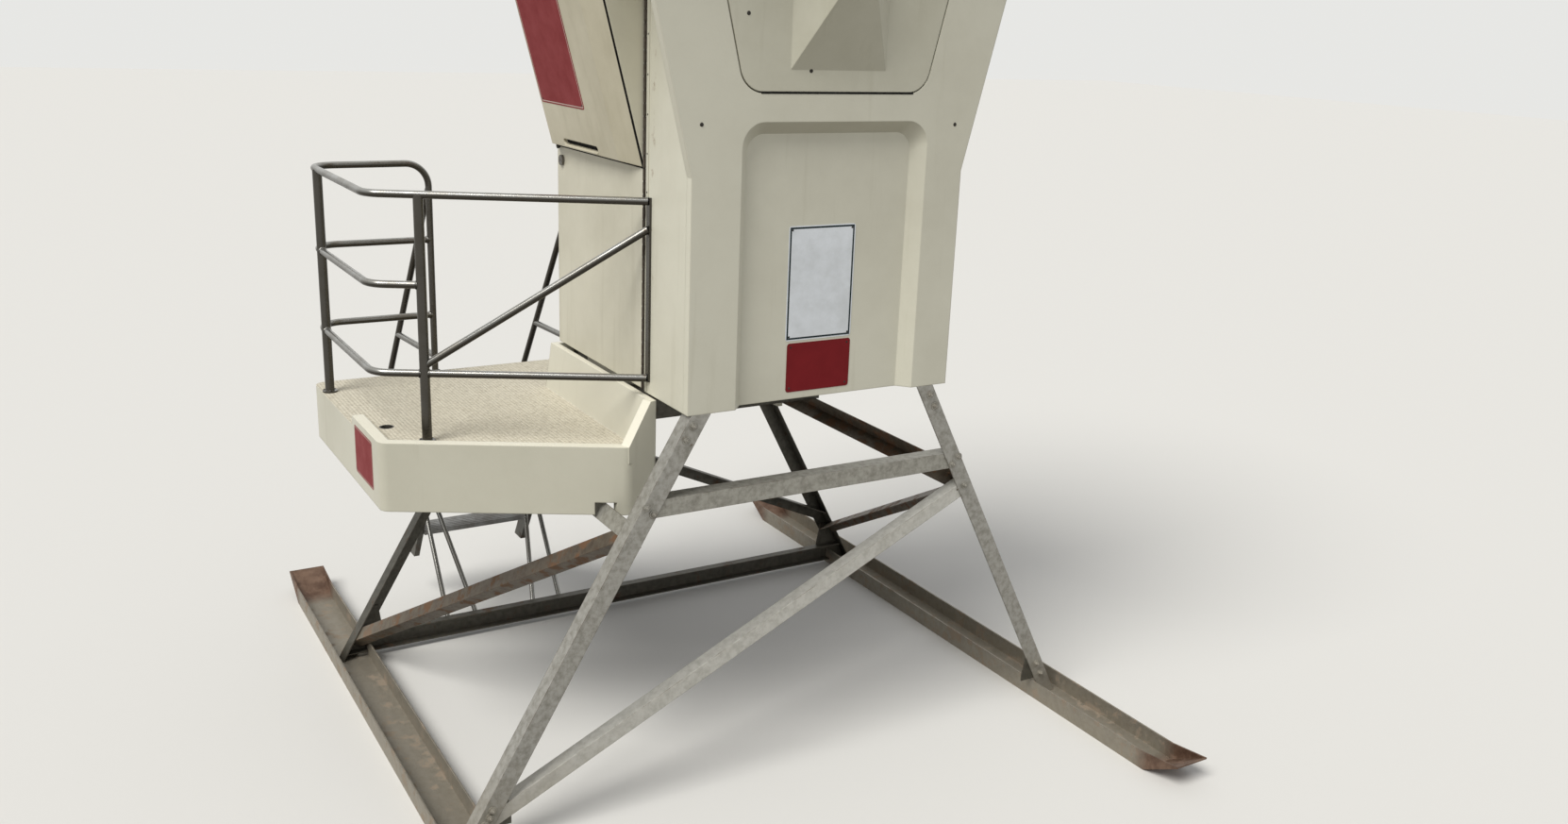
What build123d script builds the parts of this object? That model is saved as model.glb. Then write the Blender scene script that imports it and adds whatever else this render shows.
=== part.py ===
from build123d import *
import math
import os

# Lifeguard tower on splayed steel legs, in millimetres.
# While it is drawn, X is 0 at the front wall and grows to the rear, Y is 0 at the near wall
# and grows to the sea side, and Z is 0 on the ground. The last step moves the origin to the
# middle of the footprint.

# Cabin shell
SILL = 1750.0
CABIN_LENGTH = 1300.0
CABIN_DEPTH = 1370.0
CABIN_HEIGHT = 2150.0
WAIST = 950.0
FLARE = 14.0
SHELL = 40.0
FLOOR_SLAB = 50.0

# Moulded field in the lower side wall
FIELD_HEIGHT = 1160.0
FIELD_MARGIN_FRONT = 220.0
FIELD_MARGIN_REAR = 190.0
FIELD_DEPTH = 56.0
FIELD_BEVEL = 50.0
FIELD_CORNER = 100.0

# Window and its flush shutter
WINDOW_BOTTOM = 1270.0
WINDOW_MARGIN = 220.0
WINDOW_HEADER = 160.0
WINDOW_CORNER = 110.0
SHUTTER_GAP = 6.0
SHUTTER_THICK = 28.0
REBATE = 25.0

# Wedge-shaped vent on a shutter
VENT_RAISE = 90.0
VENT_WIDTH = 450.0
VENT_HEAD = 40.0
VENT_REACH = 180.0
VENT_RIDGE = 40.0
VENT_RIDGE_DROP = 150.0
VENT_SKIN = 12.0

# Door and the hatch on it
DOOR_EDGE = 410.0
DOOR_HEADER = 170.0
DOOR_THICK = 40.0
DOOR_SKIN = 25.0
DOOR_GAP = 3.0
DOOR_FLOOR_GAP = 8.0
MOVING_GAP = 6.0
BAY_SILL = 940.0
BAY_LEAN = 15.0
HATCH_THICK = 45.0
HATCH_BEVEL = 30.0
HATCH_MARGIN = 8.0
HATCH_OVERLAP = 90.0
SLOT_WIDTH = 200.0
SLOT_HEIGHT = 24.0
SLOT_RAISE = 60.0
HINGE_RADIUS = 6.0
HINGE_STANDOFF = 1.0
HINGE_LEAF = 30.0
HINGE_PLATE = 3.0
LOCK_RADIUS = 24.0
LOCK_REACH = 12.0
KEY_WIDTH = 3.0
KEY_LENGTH = 12.0
LOCK_HEIGHT = 880.0
LOCK_INSET = 60.0

# Roof
ROOF_OVERHANG = 150.0
ROOF_RIM = 90.0
ROOF_RISE = 150.0
ROOF_CORNER = 120.0
ROOF_FALL = 480.0
ROOF_SKIN = 22.0

# Deck tray
DECK_FRONT = 1055.0
DECK_SIDE = 530.0
DECK_NEAR_START = 240.0
DECK_NEAR_REACH = 145.0
DECK_NEAR_END = 715.0
DECK_WALL_START = 285.0
DECK_CORNER = 55.0
DECK_RIM_DROP = 185.0
DECK_FLOOR_DROP = 228.0
DECK_SKIRT = 300.0
DECK_SKIN = 30.0
DECK_RIM = 50.0
DECK_LIP_START = 1150.0
UPSTAND = 62.0
UPSTAND_CLEAR = 8.0
DECK_WALL_GAP = 2.0
NOTCH_CLEAR = 6.0
SOCKET_X = 930.0
SOCKET_Y = 1060.0
SOCKET_RADIUS = 32.0
SOCKET_WALL = 6.0
SOCKET_DEPTH = 90.0

# Steel frame
FRAME_SIDE = 620.0
ANGLE = 76.0
ANGLE_THICK = 7.0
LEG_INSET_FRONT = 20.0
LEG_INSET_REAR = 70.0
LEG_SPLAY_FRONT = 1020.0
LEG_SPLAY_REAR = 935.0
TIE_DROP = 380.0
CROSS_TIE_DROP = 460.0
BRACE = 64.0
BRACE_THICK = 7.0
DIAGONAL_LOW = 80.0
DIAGONAL_HIGH = 1270.0
SIDE_DIAGONAL_LOW = 140.0
REAR_DIAGONAL_LOW = 260.0
FAR_DIAGONAL_LOW = 350.0
FAR_DIAGONAL_HIGH = 1330.0
GROUND_BEAM_LIFT = 30.0
GROUND_BEAM_HEIGHT = 95.0
GROUND_BEAM_WIDTH = 50.0
BEAM_WIDTH = 50.0
DECK_BEAM_NEAR = 760.0
DECK_BEAM_FAR_INSET = 180.0
DECK_BEAM_FRONT = 940.0
DECK_BEAM_TAIL = 120.0
TRESTLE_BACK = 60.0
TRESTLE_INSET = 70.0

# Skid runners
RUNNER_WIDTH = 190.0
RUNNER_PLATE = 8.0
RUNNER_SIDE = 90.0
RUNNER_SHIFT = 55.0
RUNNER_REACH = 780.0
RUNNER_TIP = 200.0
RUNNER_TIP_RISE = 110.0

# Handrails
POST_RADIUS = 21.0
RAIL_RADIUS = 16.0
RAIL_TOP = 815.0
RAIL_MIDDLE = 445.0
RAIL_LOWER = 70.0
BRACE_RAISE = 700.0
RAIL_BEND = 110.0
RAIL_INSET = 35.0
RAIL_INSET_REAR = 90.0
POST_CORNER = 150.0
POST_FLANGE = 34.0
POST_FLANGE_THICK = 8.0
POST_NEAR_X = -830.0
POST_NEAR_Y = 790.0
POST_FAR_X = -470.0
WALL_BAR_Y = 380.0
WALL_BAR_WIDTH = 30.0
WALL_BAR_THICK = 10.0

# Ladder to the sea side
LADDER_WIDTH = 640.0
LADDER_X = -90.0
LADDER_RUN = 875.0
LADDER_CLEAR = 250.0
LADDER_RAIL_RUN = 570.0
LADDER_RAIL_LEFT = -530.0
LADDER_RAIL_RIGHT = 240.0
LADDER_LINK_DROP = 140.0
LADDER_PROP_RUN = 930.0
LADDER_PROP_INSET = 160.0
STRINGER_DEPTH = 90.0
STRINGER_THICK = 30.0
TREAD_PITCH = 275.0
TREAD_DEPTH = 150.0
TREAD_THICK = 28.0

# Worked out from the sizes above
TOP = SILL + CABIN_HEIGHT
DOOR_HEIGHT = CABIN_HEIGHT - DOOR_HEADER
WINDOW_WIDTH = CABIN_LENGTH - 2 * WINDOW_MARGIN
WINDOW_HEIGHT = CABIN_HEIGHT - WINDOW_BOTTOM - WINDOW_HEADER
VENT_HEIGHT = WINDOW_HEIGHT - VENT_RAISE - VENT_HEAD
VENT_RIDGE_RAISE = VENT_HEIGHT - VENT_RIDGE_DROP
FLARE_RUN = (CABIN_HEIGHT - WAIST) * math.tan(math.radians(FLARE))
DOOR_TOP = SILL + DOOR_HEIGHT
BAY_REACH = (DOOR_HEIGHT - BAY_SILL) * math.tan(math.radians(BAY_LEAN))
HINGE_X = -HINGE_RADIUS - HINGE_STANDOFF
TIE_Z = SILL - TIE_DROP
CROSS_Z = SILL - CROSS_TIE_DROP
FRAME_WIDTH = CABIN_DEPTH + FRAME_SIDE
LEG_TOP_REAR = CABIN_LENGTH - LEG_INSET_REAR
LEG_FOOT_FRONT = LEG_INSET_FRONT - LEG_SPLAY_FRONT
LEG_FOOT_REAR = LEG_TOP_REAR + LEG_SPLAY_REAR
DECK_FAR = CABIN_DEPTH + DECK_SIDE
DECK_FLOOR = SILL - DECK_FLOOR_DROP
DECK_UNDER = DECK_FLOOR - DECK_SKIN
DECK_BOTTOM = SILL - DECK_RIM_DROP - DECK_SKIRT
FAR_RAIL_Y = DECK_FAR - RAIL_INSET
FRONT_RAIL_X = -DECK_FRONT + RAIL_INSET


def block(x0, x1, y0, y1, z0, z1):
    """Plain box between two corners."""
    size = Box(x1 - x0, y1 - y0, z1 - z0)
    return Pos((x0 + x1) / 2, (y0 + y1) / 2, (z0 + z1) / 2) * size


def bar(start, end, section, side):
    """Straight bar of a section that runs between two points, with the section's x along side."""
    run = Vector(*end) - Vector(*start)
    across = Vector(*side)
    across = across - run.normalized() * across.dot(run.normalized())
    plane = Plane(origin=start, x_dir=across, z_dir=run)
    return extrude(plane * section, amount=run.length)


def angle_section(leg, thick):
    """Equal angle with its heel at the section's corner."""
    points = [(0, 0), (leg, 0), (leg, thick), (thick, thick), (thick, leg), (0, leg)]
    return make_face(Polyline(*points, close=True))


def tube(points, radius, bend):
    """Round tube along straight runs joined by bends."""
    if len(points) > 2:
        path = FilletPolyline(*points, radius=bend)
    else:
        path = Line(*points)
    start = path @ 0
    ring = Plane(origin=start, z_dir=path % 0) * Circle(radius)
    return sweep(ring, path=path)


def frustum(low, high):
    """Solid with flat faces between two outlines of as many corners, each side a flat one."""
    count = len(low)
    sides = []
    for k in range(count):
        n = (k + 1) % count
        sides.append(make_face(Polyline(low[k], low[n], high[n], high[k], close=True)))
    ends = [make_face(Polyline(*low, close=True)), make_face(Polyline(*high, close=True))]
    return Solid(Shell([side.face() for side in sides + ends]))


def rectangle_corners(plane, middle, width, height):
    """Corners of a rectangle that is centred on a point of a plane."""
    u, v = width / 2, height / 2
    corners = ((-u, -v), (u, -v), (u, v), (-u, v))
    return [plane.from_local_coords((x, middle + y, 0)) for x, y in corners]


def leg_x(front, z):
    """X of a leg's line at a height, for the front or the rear pair."""
    top = LEG_INSET_FRONT if front else LEG_TOP_REAR
    foot = LEG_FOOT_FRONT if front else LEG_FOOT_REAR
    return foot + (top - foot) * z / SILL


# Cabin walls


def side_outline():
    """Outline of a side wall: upright to the waist, then flared to front and rear."""
    points = [
        (0, SILL),
        (CABIN_LENGTH, SILL),
        (CABIN_LENGTH, SILL + WAIST),
        (CABIN_LENGTH + FLARE_RUN, TOP),
        (-FLARE_RUN, TOP),
        (0, SILL + WAIST),
    ]
    return make_face(Polyline(*points, close=True))


def field_outline(left, right, top, bottom, corner):
    """Field with rounded upper corners and an open lower edge."""
    face = make_face(Polyline((left, bottom), (right, bottom), (right, top), (left, top), close=True))
    corners = face.vertices().sort_by(Axis.Y)[-2:]
    return fillet(corners, corner)


def moulded_field(plane, left, right, top, bottom):
    """Material to add behind a wall and the bevelled pocket to cut for its sunk field."""
    outer = field_outline(left, right, top, bottom, FIELD_CORNER)
    inner = field_outline(
        left + FIELD_BEVEL, right - FIELD_BEVEL, top - FIELD_BEVEL, bottom, FIELD_CORNER - FIELD_BEVEL / 2
    )
    back = extrude(plane * outer, amount=-(SHELL + FIELD_DEPTH))
    pocket = loft([plane * outer, plane.offset(-FIELD_DEPTH) * inner], ruled=True)
    return back, pocket


def window_outline(grow):
    """Window whose sides lean with the flare, centred on x, with its sill at y 0."""
    lean = WINDOW_HEIGHT * math.tan(math.radians(FLARE))
    half = WINDOW_WIDTH / 2
    points = [(-half, 0), (half, 0), (half + lean, WINDOW_HEIGHT), (-half - lean, WINDOW_HEIGHT)]
    face = fillet(make_face(Polyline(*points, close=True)).vertices(), WINDOW_CORNER)
    return offset(face, amount=grow) if grow else face


def cut_window(wall, plane):
    """Opening for a shutter, with a rebate behind it for the shutter to close on."""
    seat = extrude(plane * window_outline(0), amount=-SHUTTER_THICK)
    hole = extrude(plane * window_outline(-REBATE), amount=-2 * SHELL)
    return wall - seat - hole


def shutter(plane):
    """Flush shutter panel with its hollow wedge-shaped vent."""
    panel = extrude(plane * window_outline(-SHUTTER_GAP), amount=-SHUTTER_THICK)
    middle = VENT_RAISE + VENT_HEIGHT / 2
    crown = VENT_RAISE + VENT_RIDGE_RAISE
    less = 4 * VENT_SKIN
    front = plane.offset(VENT_REACH)
    vent = frustum(
        rectangle_corners(plane, middle, VENT_WIDTH, VENT_HEIGHT),
        rectangle_corners(front, crown, VENT_RIDGE, VENT_RIDGE),
    )
    back = plane.offset(-SHUTTER_THICK)
    hollow_front = plane.offset(VENT_REACH - 2 * VENT_SKIN)
    inside = frustum(
        rectangle_corners(back, middle, VENT_WIDTH - less, VENT_HEIGHT - less),
        rectangle_corners(hollow_front, crown, VENT_RIDGE / 2, VENT_RIDGE / 2),
    )
    return panel + vent - inside


NEAR_PLANE = Plane(origin=(CABIN_LENGTH / 2, 0, SILL), x_dir=(1, 0, 0), z_dir=(0, -1, 0))
REAR_LOW_PLANE = Plane(origin=(CABIN_LENGTH, CABIN_DEPTH / 2, SILL), x_dir=(0, 1, 0), z_dir=(1, 0, 0))
REAR_HIGH_PLANE = Plane(
    origin=(CABIN_LENGTH, CABIN_DEPTH / 2, SILL + WAIST),
    x_dir=(0, 1, 0),
    z_dir=(math.cos(math.radians(FLARE)), 0, -math.sin(math.radians(FLARE))),
)
FAR_MIRROR = Plane(origin=(0, CABIN_DEPTH / 2, 0), z_dir=(0, 1, 0))


def near_wall():
    """Side wall with its sunk field and its window."""
    wall = extrude(Plane.XZ * side_outline(), amount=-SHELL)
    half = CABIN_LENGTH / 2
    left = FIELD_MARGIN_FRONT - half
    right = half - FIELD_MARGIN_REAR
    back, pocket = moulded_field(NEAR_PLANE, left, right, FIELD_HEIGHT, 0)
    wall = wall + back - pocket
    return cut_window(wall, window_plane(NEAR_PLANE, WINDOW_BOTTOM))


def window_plane(plane, raise_by):
    """Plane moved up along itself, with its origin at the window's sill."""
    return Plane(origin=plane.from_local_coords((0, raise_by, 0)), x_dir=plane.x_dir, z_dir=plane.z_dir)


def far_wall():
    """Sea-side wall: the near wall's other hand, cut back behind the door."""
    wall = mirror(near_wall(), about=FAR_MIRROR)
    return wall - block(-FLARE_RUN, DOOR_THICK + MOVING_GAP, SHELL, 2 * CABIN_DEPTH, SILL, TOP)


def rear_wall():
    """Rear wall: upright to the waist and leaning out above it, with a field and a window."""
    slant = SHELL / math.cos(math.radians(FLARE))
    points = [
        (CABIN_LENGTH - SHELL, SILL),
        (CABIN_LENGTH, SILL),
        (CABIN_LENGTH, SILL + WAIST),
        (CABIN_LENGTH + FLARE_RUN, TOP),
        (CABIN_LENGTH + FLARE_RUN - slant, TOP),
        (CABIN_LENGTH - SHELL, SILL + WAIST),
    ]
    profile = Plane.XZ.offset(-SHELL) * make_face(Polyline(*points, close=True))
    wall = extrude(profile, amount=-(CABIN_DEPTH - 2 * SHELL))
    half = CABIN_DEPTH / 2 - FIELD_MARGIN_FRONT
    field_top = WAIST - FIELD_CORNER
    back, pocket = moulded_field(REAR_LOW_PLANE, -half, half, field_top, 0)
    wall = wall + back - pocket
    return cut_window(wall, window_plane(REAR_HIGH_PLANE, WINDOW_BOTTOM - WAIST))


def cabin_floor():
    """Floor slab inside the walls."""
    inner = SHELL + FIELD_DEPTH
    wide = block(SHELL, CABIN_LENGTH - inner, inner, CABIN_DEPTH - inner, SILL, SILL + FLOOR_SLAB)
    return wide


def front_wall_strip():
    """Fixed upright strip between the near wall and the door's hinge."""
    return block(0, SHELL, SHELL, DOOR_EDGE - DOOR_GAP, SILL, TOP)


def front_wall_over_door():
    """Wall over the doorway, up to the roof."""
    return block(0, SHELL, DOOR_EDGE - DOOR_GAP, CABIN_DEPTH, DOOR_TOP + MOVING_GAP, TOP)


def roof():
    """Moulded roof cap with a rounded rim, a low hip and a hollow underside."""
    x0 = -FLARE_RUN - ROOF_OVERHANG
    x1 = CABIN_LENGTH + FLARE_RUN + ROOF_OVERHANG
    length = x1 - x0
    depth = CABIN_DEPTH + 2 * ROOF_OVERHANG
    centre = Pos((x0 + x1) / 2, CABIN_DEPTH / 2, TOP)
    rim = extrude(RectangleRounded(length, depth, ROOF_CORNER), amount=ROOF_RIM)
    low = RectangleRounded(length, depth, ROOF_CORNER)
    high = RectangleRounded(length - 2 * ROOF_FALL, depth - 2 * ROOF_FALL, ROOF_CORNER)
    hip = loft([Pos(0, 0, ROOF_RIM) * low, Pos(0, 0, ROOF_RIM + ROOF_RISE) * high], ruled=True)
    less = 2 * ROOF_SKIN
    inner_low = RectangleRounded(length - less, depth - less, ROOF_CORNER - ROOF_SKIN)
    inner_high = RectangleRounded(
        length - 2 * ROOF_FALL - less, depth - 2 * ROOF_FALL - less, ROOF_CORNER - ROOF_SKIN
    )
    hollow = Pos(0, 0, ROOF_SKIN) * extrude(inner_low, amount=ROOF_RIM - ROOF_SKIN)
    attic = loft(
        [Pos(0, 0, ROOF_RIM) * inner_low, Pos(0, 0, ROOF_RIM + ROOF_RISE - ROOF_SKIN) * inner_high],
        ruled=True,
    )
    inside = Rectangle(CABIN_LENGTH - 2 * SHELL, CABIN_DEPTH - 2 * SHELL)
    opening = extrude(inside, amount=ROOF_RIM)
    return centre * (rim + hip - hollow - attic - opening)


# Door


def bay_profile(inset):
    """Side view of the door's leaning bay, drawn inside the outer one by an inset."""
    lean = math.radians(BAY_LEAN)
    low = BAY_SILL + inset
    high = DOOR_HEIGHT - inset
    shift = inset / math.cos(lean)
    points = [
        (DOOR_THICK, SILL + low),
        (shift - (low - BAY_SILL) * math.tan(lean), SILL + low),
        (shift - (high - BAY_SILL) * math.tan(lean), SILL + high),
        (DOOR_THICK, SILL + high),
    ]
    return make_face(Polyline(*points, close=True))


def hatch_plane():
    """Plane of the bay's leaning face, with its origin at the foot and its middle."""
    lean = math.radians(BAY_LEAN)
    middle = (BAY_EDGE + CABIN_DEPTH) / 2
    foot = (0, middle, SILL + BAY_SILL)
    return Plane(origin=foot, x_dir=(0, -1, 0), z_dir=(-math.cos(lean), 0, -math.sin(lean)))


BAY_LENGTH = (DOOR_HEIGHT - BAY_SILL) / math.cos(math.radians(BAY_LEAN))
BAY_EDGE = DOOR_EDGE + HINGE_RADIUS + DOOR_GAP
DOOR_WIDTH = CABIN_DEPTH - BAY_EDGE


def door():
    """Door leaf with the hollow leaning bay that carries the hatch."""
    edge = DOOR_EDGE + DOOR_GAP
    y0 = BAY_EDGE
    leaf = block(0, DOOR_THICK, edge, CABIN_DEPTH, SILL + DOOR_FLOOR_GAP, SILL + BAY_SILL)
    leaf = leaf + block(0, DOOR_THICK, edge, y0 + DOOR_SKIN, SILL + BAY_SILL, DOOR_TOP)
    bay = extrude(Plane.XZ.offset(-y0) * bay_profile(0), amount=-DOOR_WIDTH)
    hollow_width = DOOR_WIDTH - 2 * DOOR_SKIN
    hollow = extrude(Plane.XZ.offset(-y0 - DOOR_SKIN) * bay_profile(DOOR_SKIN), amount=-hollow_width)
    less = 2 * HATCH_OVERLAP
    window = Pos(0, BAY_LENGTH / 2) * Rectangle(DOOR_WIDTH - less, BAY_LENGTH - less)
    opening = extrude(hatch_plane() * window, amount=-2 * DOOR_SKIN)
    return leaf + (bay - hollow - opening)


def door_hatch():
    """Bevelled hatch panel on the bay's leaning face, with a finger slot near its foot."""
    plane = hatch_plane()
    width = DOOR_WIDTH - 2 * HATCH_MARGIN
    length = BAY_LENGTH - 2 * HATCH_MARGIN
    base = Pos(0, BAY_LENGTH / 2) * Rectangle(width, length)
    face = Pos(0, BAY_LENGTH / 2) * Rectangle(width - 2 * HATCH_BEVEL, length - 2 * HATCH_BEVEL)
    edge = extrude(plane * base, amount=HATCH_THICK / 2)
    crown = loft([plane.offset(HATCH_THICK / 2) * base, plane.offset(HATCH_THICK) * face], ruled=True)
    slot = extrude(
        plane.offset(HATCH_THICK) * Pos(0, SLOT_RAISE) * SlotOverall(SLOT_WIDTH, SLOT_HEIGHT),
        amount=-HATCH_THICK / 2,
    )
    return edge + crown - slot


def door_hinge():
    """Long hinge: a leaf on the fixed strip and its barrel in front of the joint."""
    low = SILL + DOOR_FLOOR_GAP
    length = DOOR_HEIGHT - DOOR_FLOOR_GAP
    barrel = Pos(HINGE_X, DOOR_EDGE, low) * extrude(Circle(HINGE_RADIUS), amount=length)
    leaf = block(-HINGE_PLATE, 0, DOOR_EDGE - HINGE_LEAF, DOOR_EDGE - HINGE_RADIUS, low, DOOR_TOP)
    neck = block(HINGE_X, -0.5, DOOR_EDGE - HINGE_RADIUS - 1, DOOR_EDGE - HINGE_RADIUS / 2, low, DOOR_TOP)
    return barrel + leaf + neck


def door_lock():
    """Round key lock near the door's free edge."""
    y = CABIN_DEPTH - LOCK_INSET
    plane = Plane(origin=(0, y, SILL + LOCK_HEIGHT), x_dir=(0, -1, 0), z_dir=(-1, 0, 0))
    rose = extrude(plane * Circle(LOCK_RADIUS), amount=LOCK_REACH)
    key = extrude(plane.offset(LOCK_REACH) * Rectangle(KEY_WIDTH, KEY_LENGTH), amount=-LOCK_REACH / 2)
    return rose - key


# Deck


def deck_outline():
    """Deck seen from above: it wraps the front and the sea side of the cabin."""
    inner_x = -DECK_WALL_GAP
    inner_y = CABIN_DEPTH + DECK_WALL_GAP
    points = [
        (inner_x, DECK_WALL_START),
        (-DECK_NEAR_REACH, DECK_NEAR_START),
        (-DECK_FRONT, DECK_NEAR_END),
        (-DECK_FRONT, DECK_FAR),
        (CABIN_LENGTH, DECK_FAR),
        (CABIN_LENGTH, inner_y),
        (inner_x, inner_y),
    ]
    face = make_face(Polyline(*points, close=True))
    outer = [v for v in face.vertices() if v.X < inner_x - 1 or v.Y > inner_y + 1]
    return fillet(outer, DECK_CORNER)


def deck():
    """Moulded tray with a skirt, a low rim, an upstand at the cabin and a rolled lip."""
    outline = deck_outline()
    rim_top = SILL - DECK_RIM_DROP
    tray = Pos(0, 0, DECK_BOTTOM) * extrude(outline, amount=rim_top - DECK_BOTTOM)
    inner = offset(outline, amount=-DECK_RIM, kind=Kind.INTERSECTION)
    floor_cut = Pos(0, 0, DECK_FLOOR) * extrude(inner, amount=DECK_RIM_DROP)
    skin = offset(outline, amount=-DECK_SKIN, kind=Kind.INTERSECTION)
    under_cut = Pos(0, 0, DECK_BOTTOM) * extrude(skin, amount=DECK_UNDER - DECK_BOTTOM)
    far_inside = CABIN_DEPTH + DECK_SKIN + DECK_WALL_GAP
    front_inside = -DECK_SKIN - DECK_WALL_GAP
    under_front = block(front_inside - 1, 0, DECK_WALL_START, far_inside + 1, DECK_BOTTOM, DECK_UNDER)
    under_side = block(front_inside, CABIN_LENGTH, CABIN_DEPTH, far_inside + 1, DECK_BOTTOM, DECK_UNDER)
    shape = tray - floor_cut - under_cut - under_front - under_side
    low_front = block(
        -DECK_FRONT, -DECK_FRONT + DECK_RIM + 1, DECK_LIP_START, DECK_FAR, DECK_FLOOR, rim_top
    )
    low_far = block(
        -DECK_FRONT, CABIN_LENGTH - DECK_RIM, DECK_FAR - DECK_RIM - 1, DECK_FAR, DECK_FLOOR, rim_top
    )
    shape = shape - low_front - low_far
    return shape + upstand() + near_ramp()


def upstand():
    """Sloping band that rises from the deck floor to the cabin's sill, front and sea side."""
    top = SILL - UPSTAND_CLEAR
    x0 = -DECK_WALL_GAP
    front = Plane.XZ.offset(-DECK_WALL_START) * make_face(
        Polyline((x0, DECK_UNDER), (x0, top), (x0 - DECK_SKIN, top), (x0 - UPSTAND, DECK_UNDER), close=True)
    )
    y0 = CABIN_DEPTH + DECK_WALL_GAP
    side = Plane.YZ.offset(x0) * make_face(
        Polyline((y0, DECK_UNDER), (y0, top), (y0 + DECK_SKIN, top), (y0 + UPSTAND, DECK_UNDER), close=True)
    )
    front_band = extrude(front, amount=-(CABIN_DEPTH + DECK_WALL_GAP + DECK_SKIN - DECK_WALL_START))
    side_band = extrude(side, amount=CABIN_LENGTH - x0)
    return front_band + side_band


def near_ramp():
    """Rim at the deck's near end that climbs to the sill beside the fixed strip."""
    start = Vector(-DECK_NEAR_REACH, DECK_NEAR_START, 0)
    end = Vector(-DECK_WALL_GAP, DECK_WALL_START, 0)
    run = end - start
    plane = Plane(origin=start, x_dir=run, z_dir=(run.Y, -run.X, 0))
    points = [
        (0, DECK_UNDER),
        (run.length, DECK_UNDER),
        (run.length, SILL - UPSTAND_CLEAR),
        (run.length - DECK_SKIN, SILL - UPSTAND_CLEAR),
        (0, SILL - DECK_RIM_DROP),
    ]
    band = extrude(plane * make_face(Polyline(*points, close=True)), amount=-DECK_RIM)
    return band - block(-DECK_WALL_GAP, DECK_RIM, 0, CABIN_DEPTH, 0, TOP)


def deck_socket():
    """Round socket let into the deck floor."""
    place = Pos(-SOCKET_X, SOCKET_Y, DECK_UNDER - SOCKET_DEPTH + DECK_SKIN)
    cup = extrude(Circle(SOCKET_RADIUS), amount=SOCKET_DEPTH)
    bore = Pos(0, 0, SOCKET_WALL) * extrude(Circle(SOCKET_RADIUS - SOCKET_WALL), amount=SOCKET_DEPTH)
    return place * (cup - bore)


# Steel frame


def largest(shape):
    """The biggest solid of a trimmed piece."""
    return max(shape.solids(), key=lambda s: s.volume)


def trim(shape, *others):
    """A bar coped against the pieces that it meets."""
    for other in others:
        shape = shape - other
    return Part() + largest(shape)


def leg_line(front, z, y):
    """Point on the heel of a leg at a height."""
    return (leg_x(front, z), y, z)


def leg_direction(front):
    """Direction up along a leg."""
    run = Vector(*leg_line(front, SILL, 0)) - Vector(*leg_line(front, 0, 0))
    return run.normalized()


def leg_inward(front):
    """Direction in the side plane from a leg's heel towards the middle of the tower."""
    up = leg_direction(front)
    return Vector(up.Z, 0, -up.X) if front else Vector(-up.Z, 0, up.X)


def to_far(shape):
    """The other hand of a near-side piece of the frame."""
    return mirror(shape, about=Plane(origin=(0, FRAME_WIDTH / 2, 0), z_dir=(0, 1, 0)))


def near_leg(front, head):
    """Splayed angle leg of the near side, cut level at foot and head."""
    section = angle_section(ANGLE, ANGLE_THICK)
    spare = 2 * ANGLE
    low = leg_line(front, -spare, 0)
    high = leg_line(front, SILL + spare, 0)
    ends = (low, high) if front else (high, low)
    shape = bar(*ends, section, tuple(leg_inward(front)))
    span = block(2 * LEG_FOOT_FRONT, 2 * LEG_FOOT_REAR, -ANGLE, FRAME_WIDTH, RUNNER_PLATE, head)
    return shape & span


def side_tie():
    """Level angle between the near legs."""
    section = angle_section(ANGLE, ANGLE_THICK)
    z = TIE_Z + ANGLE / 2
    start = (leg_x(True, z), ANGLE_THICK, z)
    end = (leg_x(False, z), ANGLE_THICK, z)
    return bar(start, end, section, (0, 0, -1))


def face_point(front, z, y):
    """Point on the inner face of a leg's cross flange."""
    inward = leg_inward(front) * ANGLE_THICK
    return tuple(Vector(*leg_line(front, z, y)) + inward)


def cross_tie(front):
    """Level angle across the front or the rear pair of legs."""
    section = angle_section(ANGLE, ANGLE_THICK)
    ends = [ANGLE_THICK, FRAME_WIDTH - ANGLE_THICK]
    if not front:
        ends.reverse()
    start = face_point(front, CROSS_Z - ANGLE / 2, ends[0])
    end = face_point(front, CROSS_Z - ANGLE / 2, ends[1])
    return bar(start, end, section, tuple(leg_direction(front)))


def side_diagonal():
    """Angle from the near front foot up to the near rear leg, with its heel on top."""
    section = angle_section(BRACE, BRACE_THICK)
    low = (leg_x(True, SIDE_DIAGONAL_LOW), ANGLE_THICK, SIDE_DIAGONAL_LOW)
    high = (leg_x(False, DIAGONAL_HIGH), ANGLE_THICK, DIAGONAL_HIGH)
    return bar(high, low, section, (0, 1, 0))


def far_diagonal():
    """Angle from the far rear foot up to the far front leg."""
    section = angle_section(BRACE, BRACE_THICK)
    y = FRAME_WIDTH - ANGLE_THICK
    low = (leg_x(False, FAR_DIAGONAL_LOW), y, FAR_DIAGONAL_LOW)
    high = (leg_x(True, FAR_DIAGONAL_HIGH), y, FAR_DIAGONAL_HIGH)
    return bar(high, low, section, (0, -1, 0))


def cross_diagonal(front):
    """Angle from the far foot up to the near leg, across the front or the rear pair."""
    section = angle_section(BRACE, BRACE_THICK)
    foot = DIAGONAL_LOW if front else REAR_DIAGONAL_LOW
    low = face_point(front, foot, FRAME_WIDTH - ANGLE_THICK)
    high = face_point(front, DIAGONAL_HIGH, ANGLE_THICK)
    return bar(low, high, section, tuple(leg_inward(front)))


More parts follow.
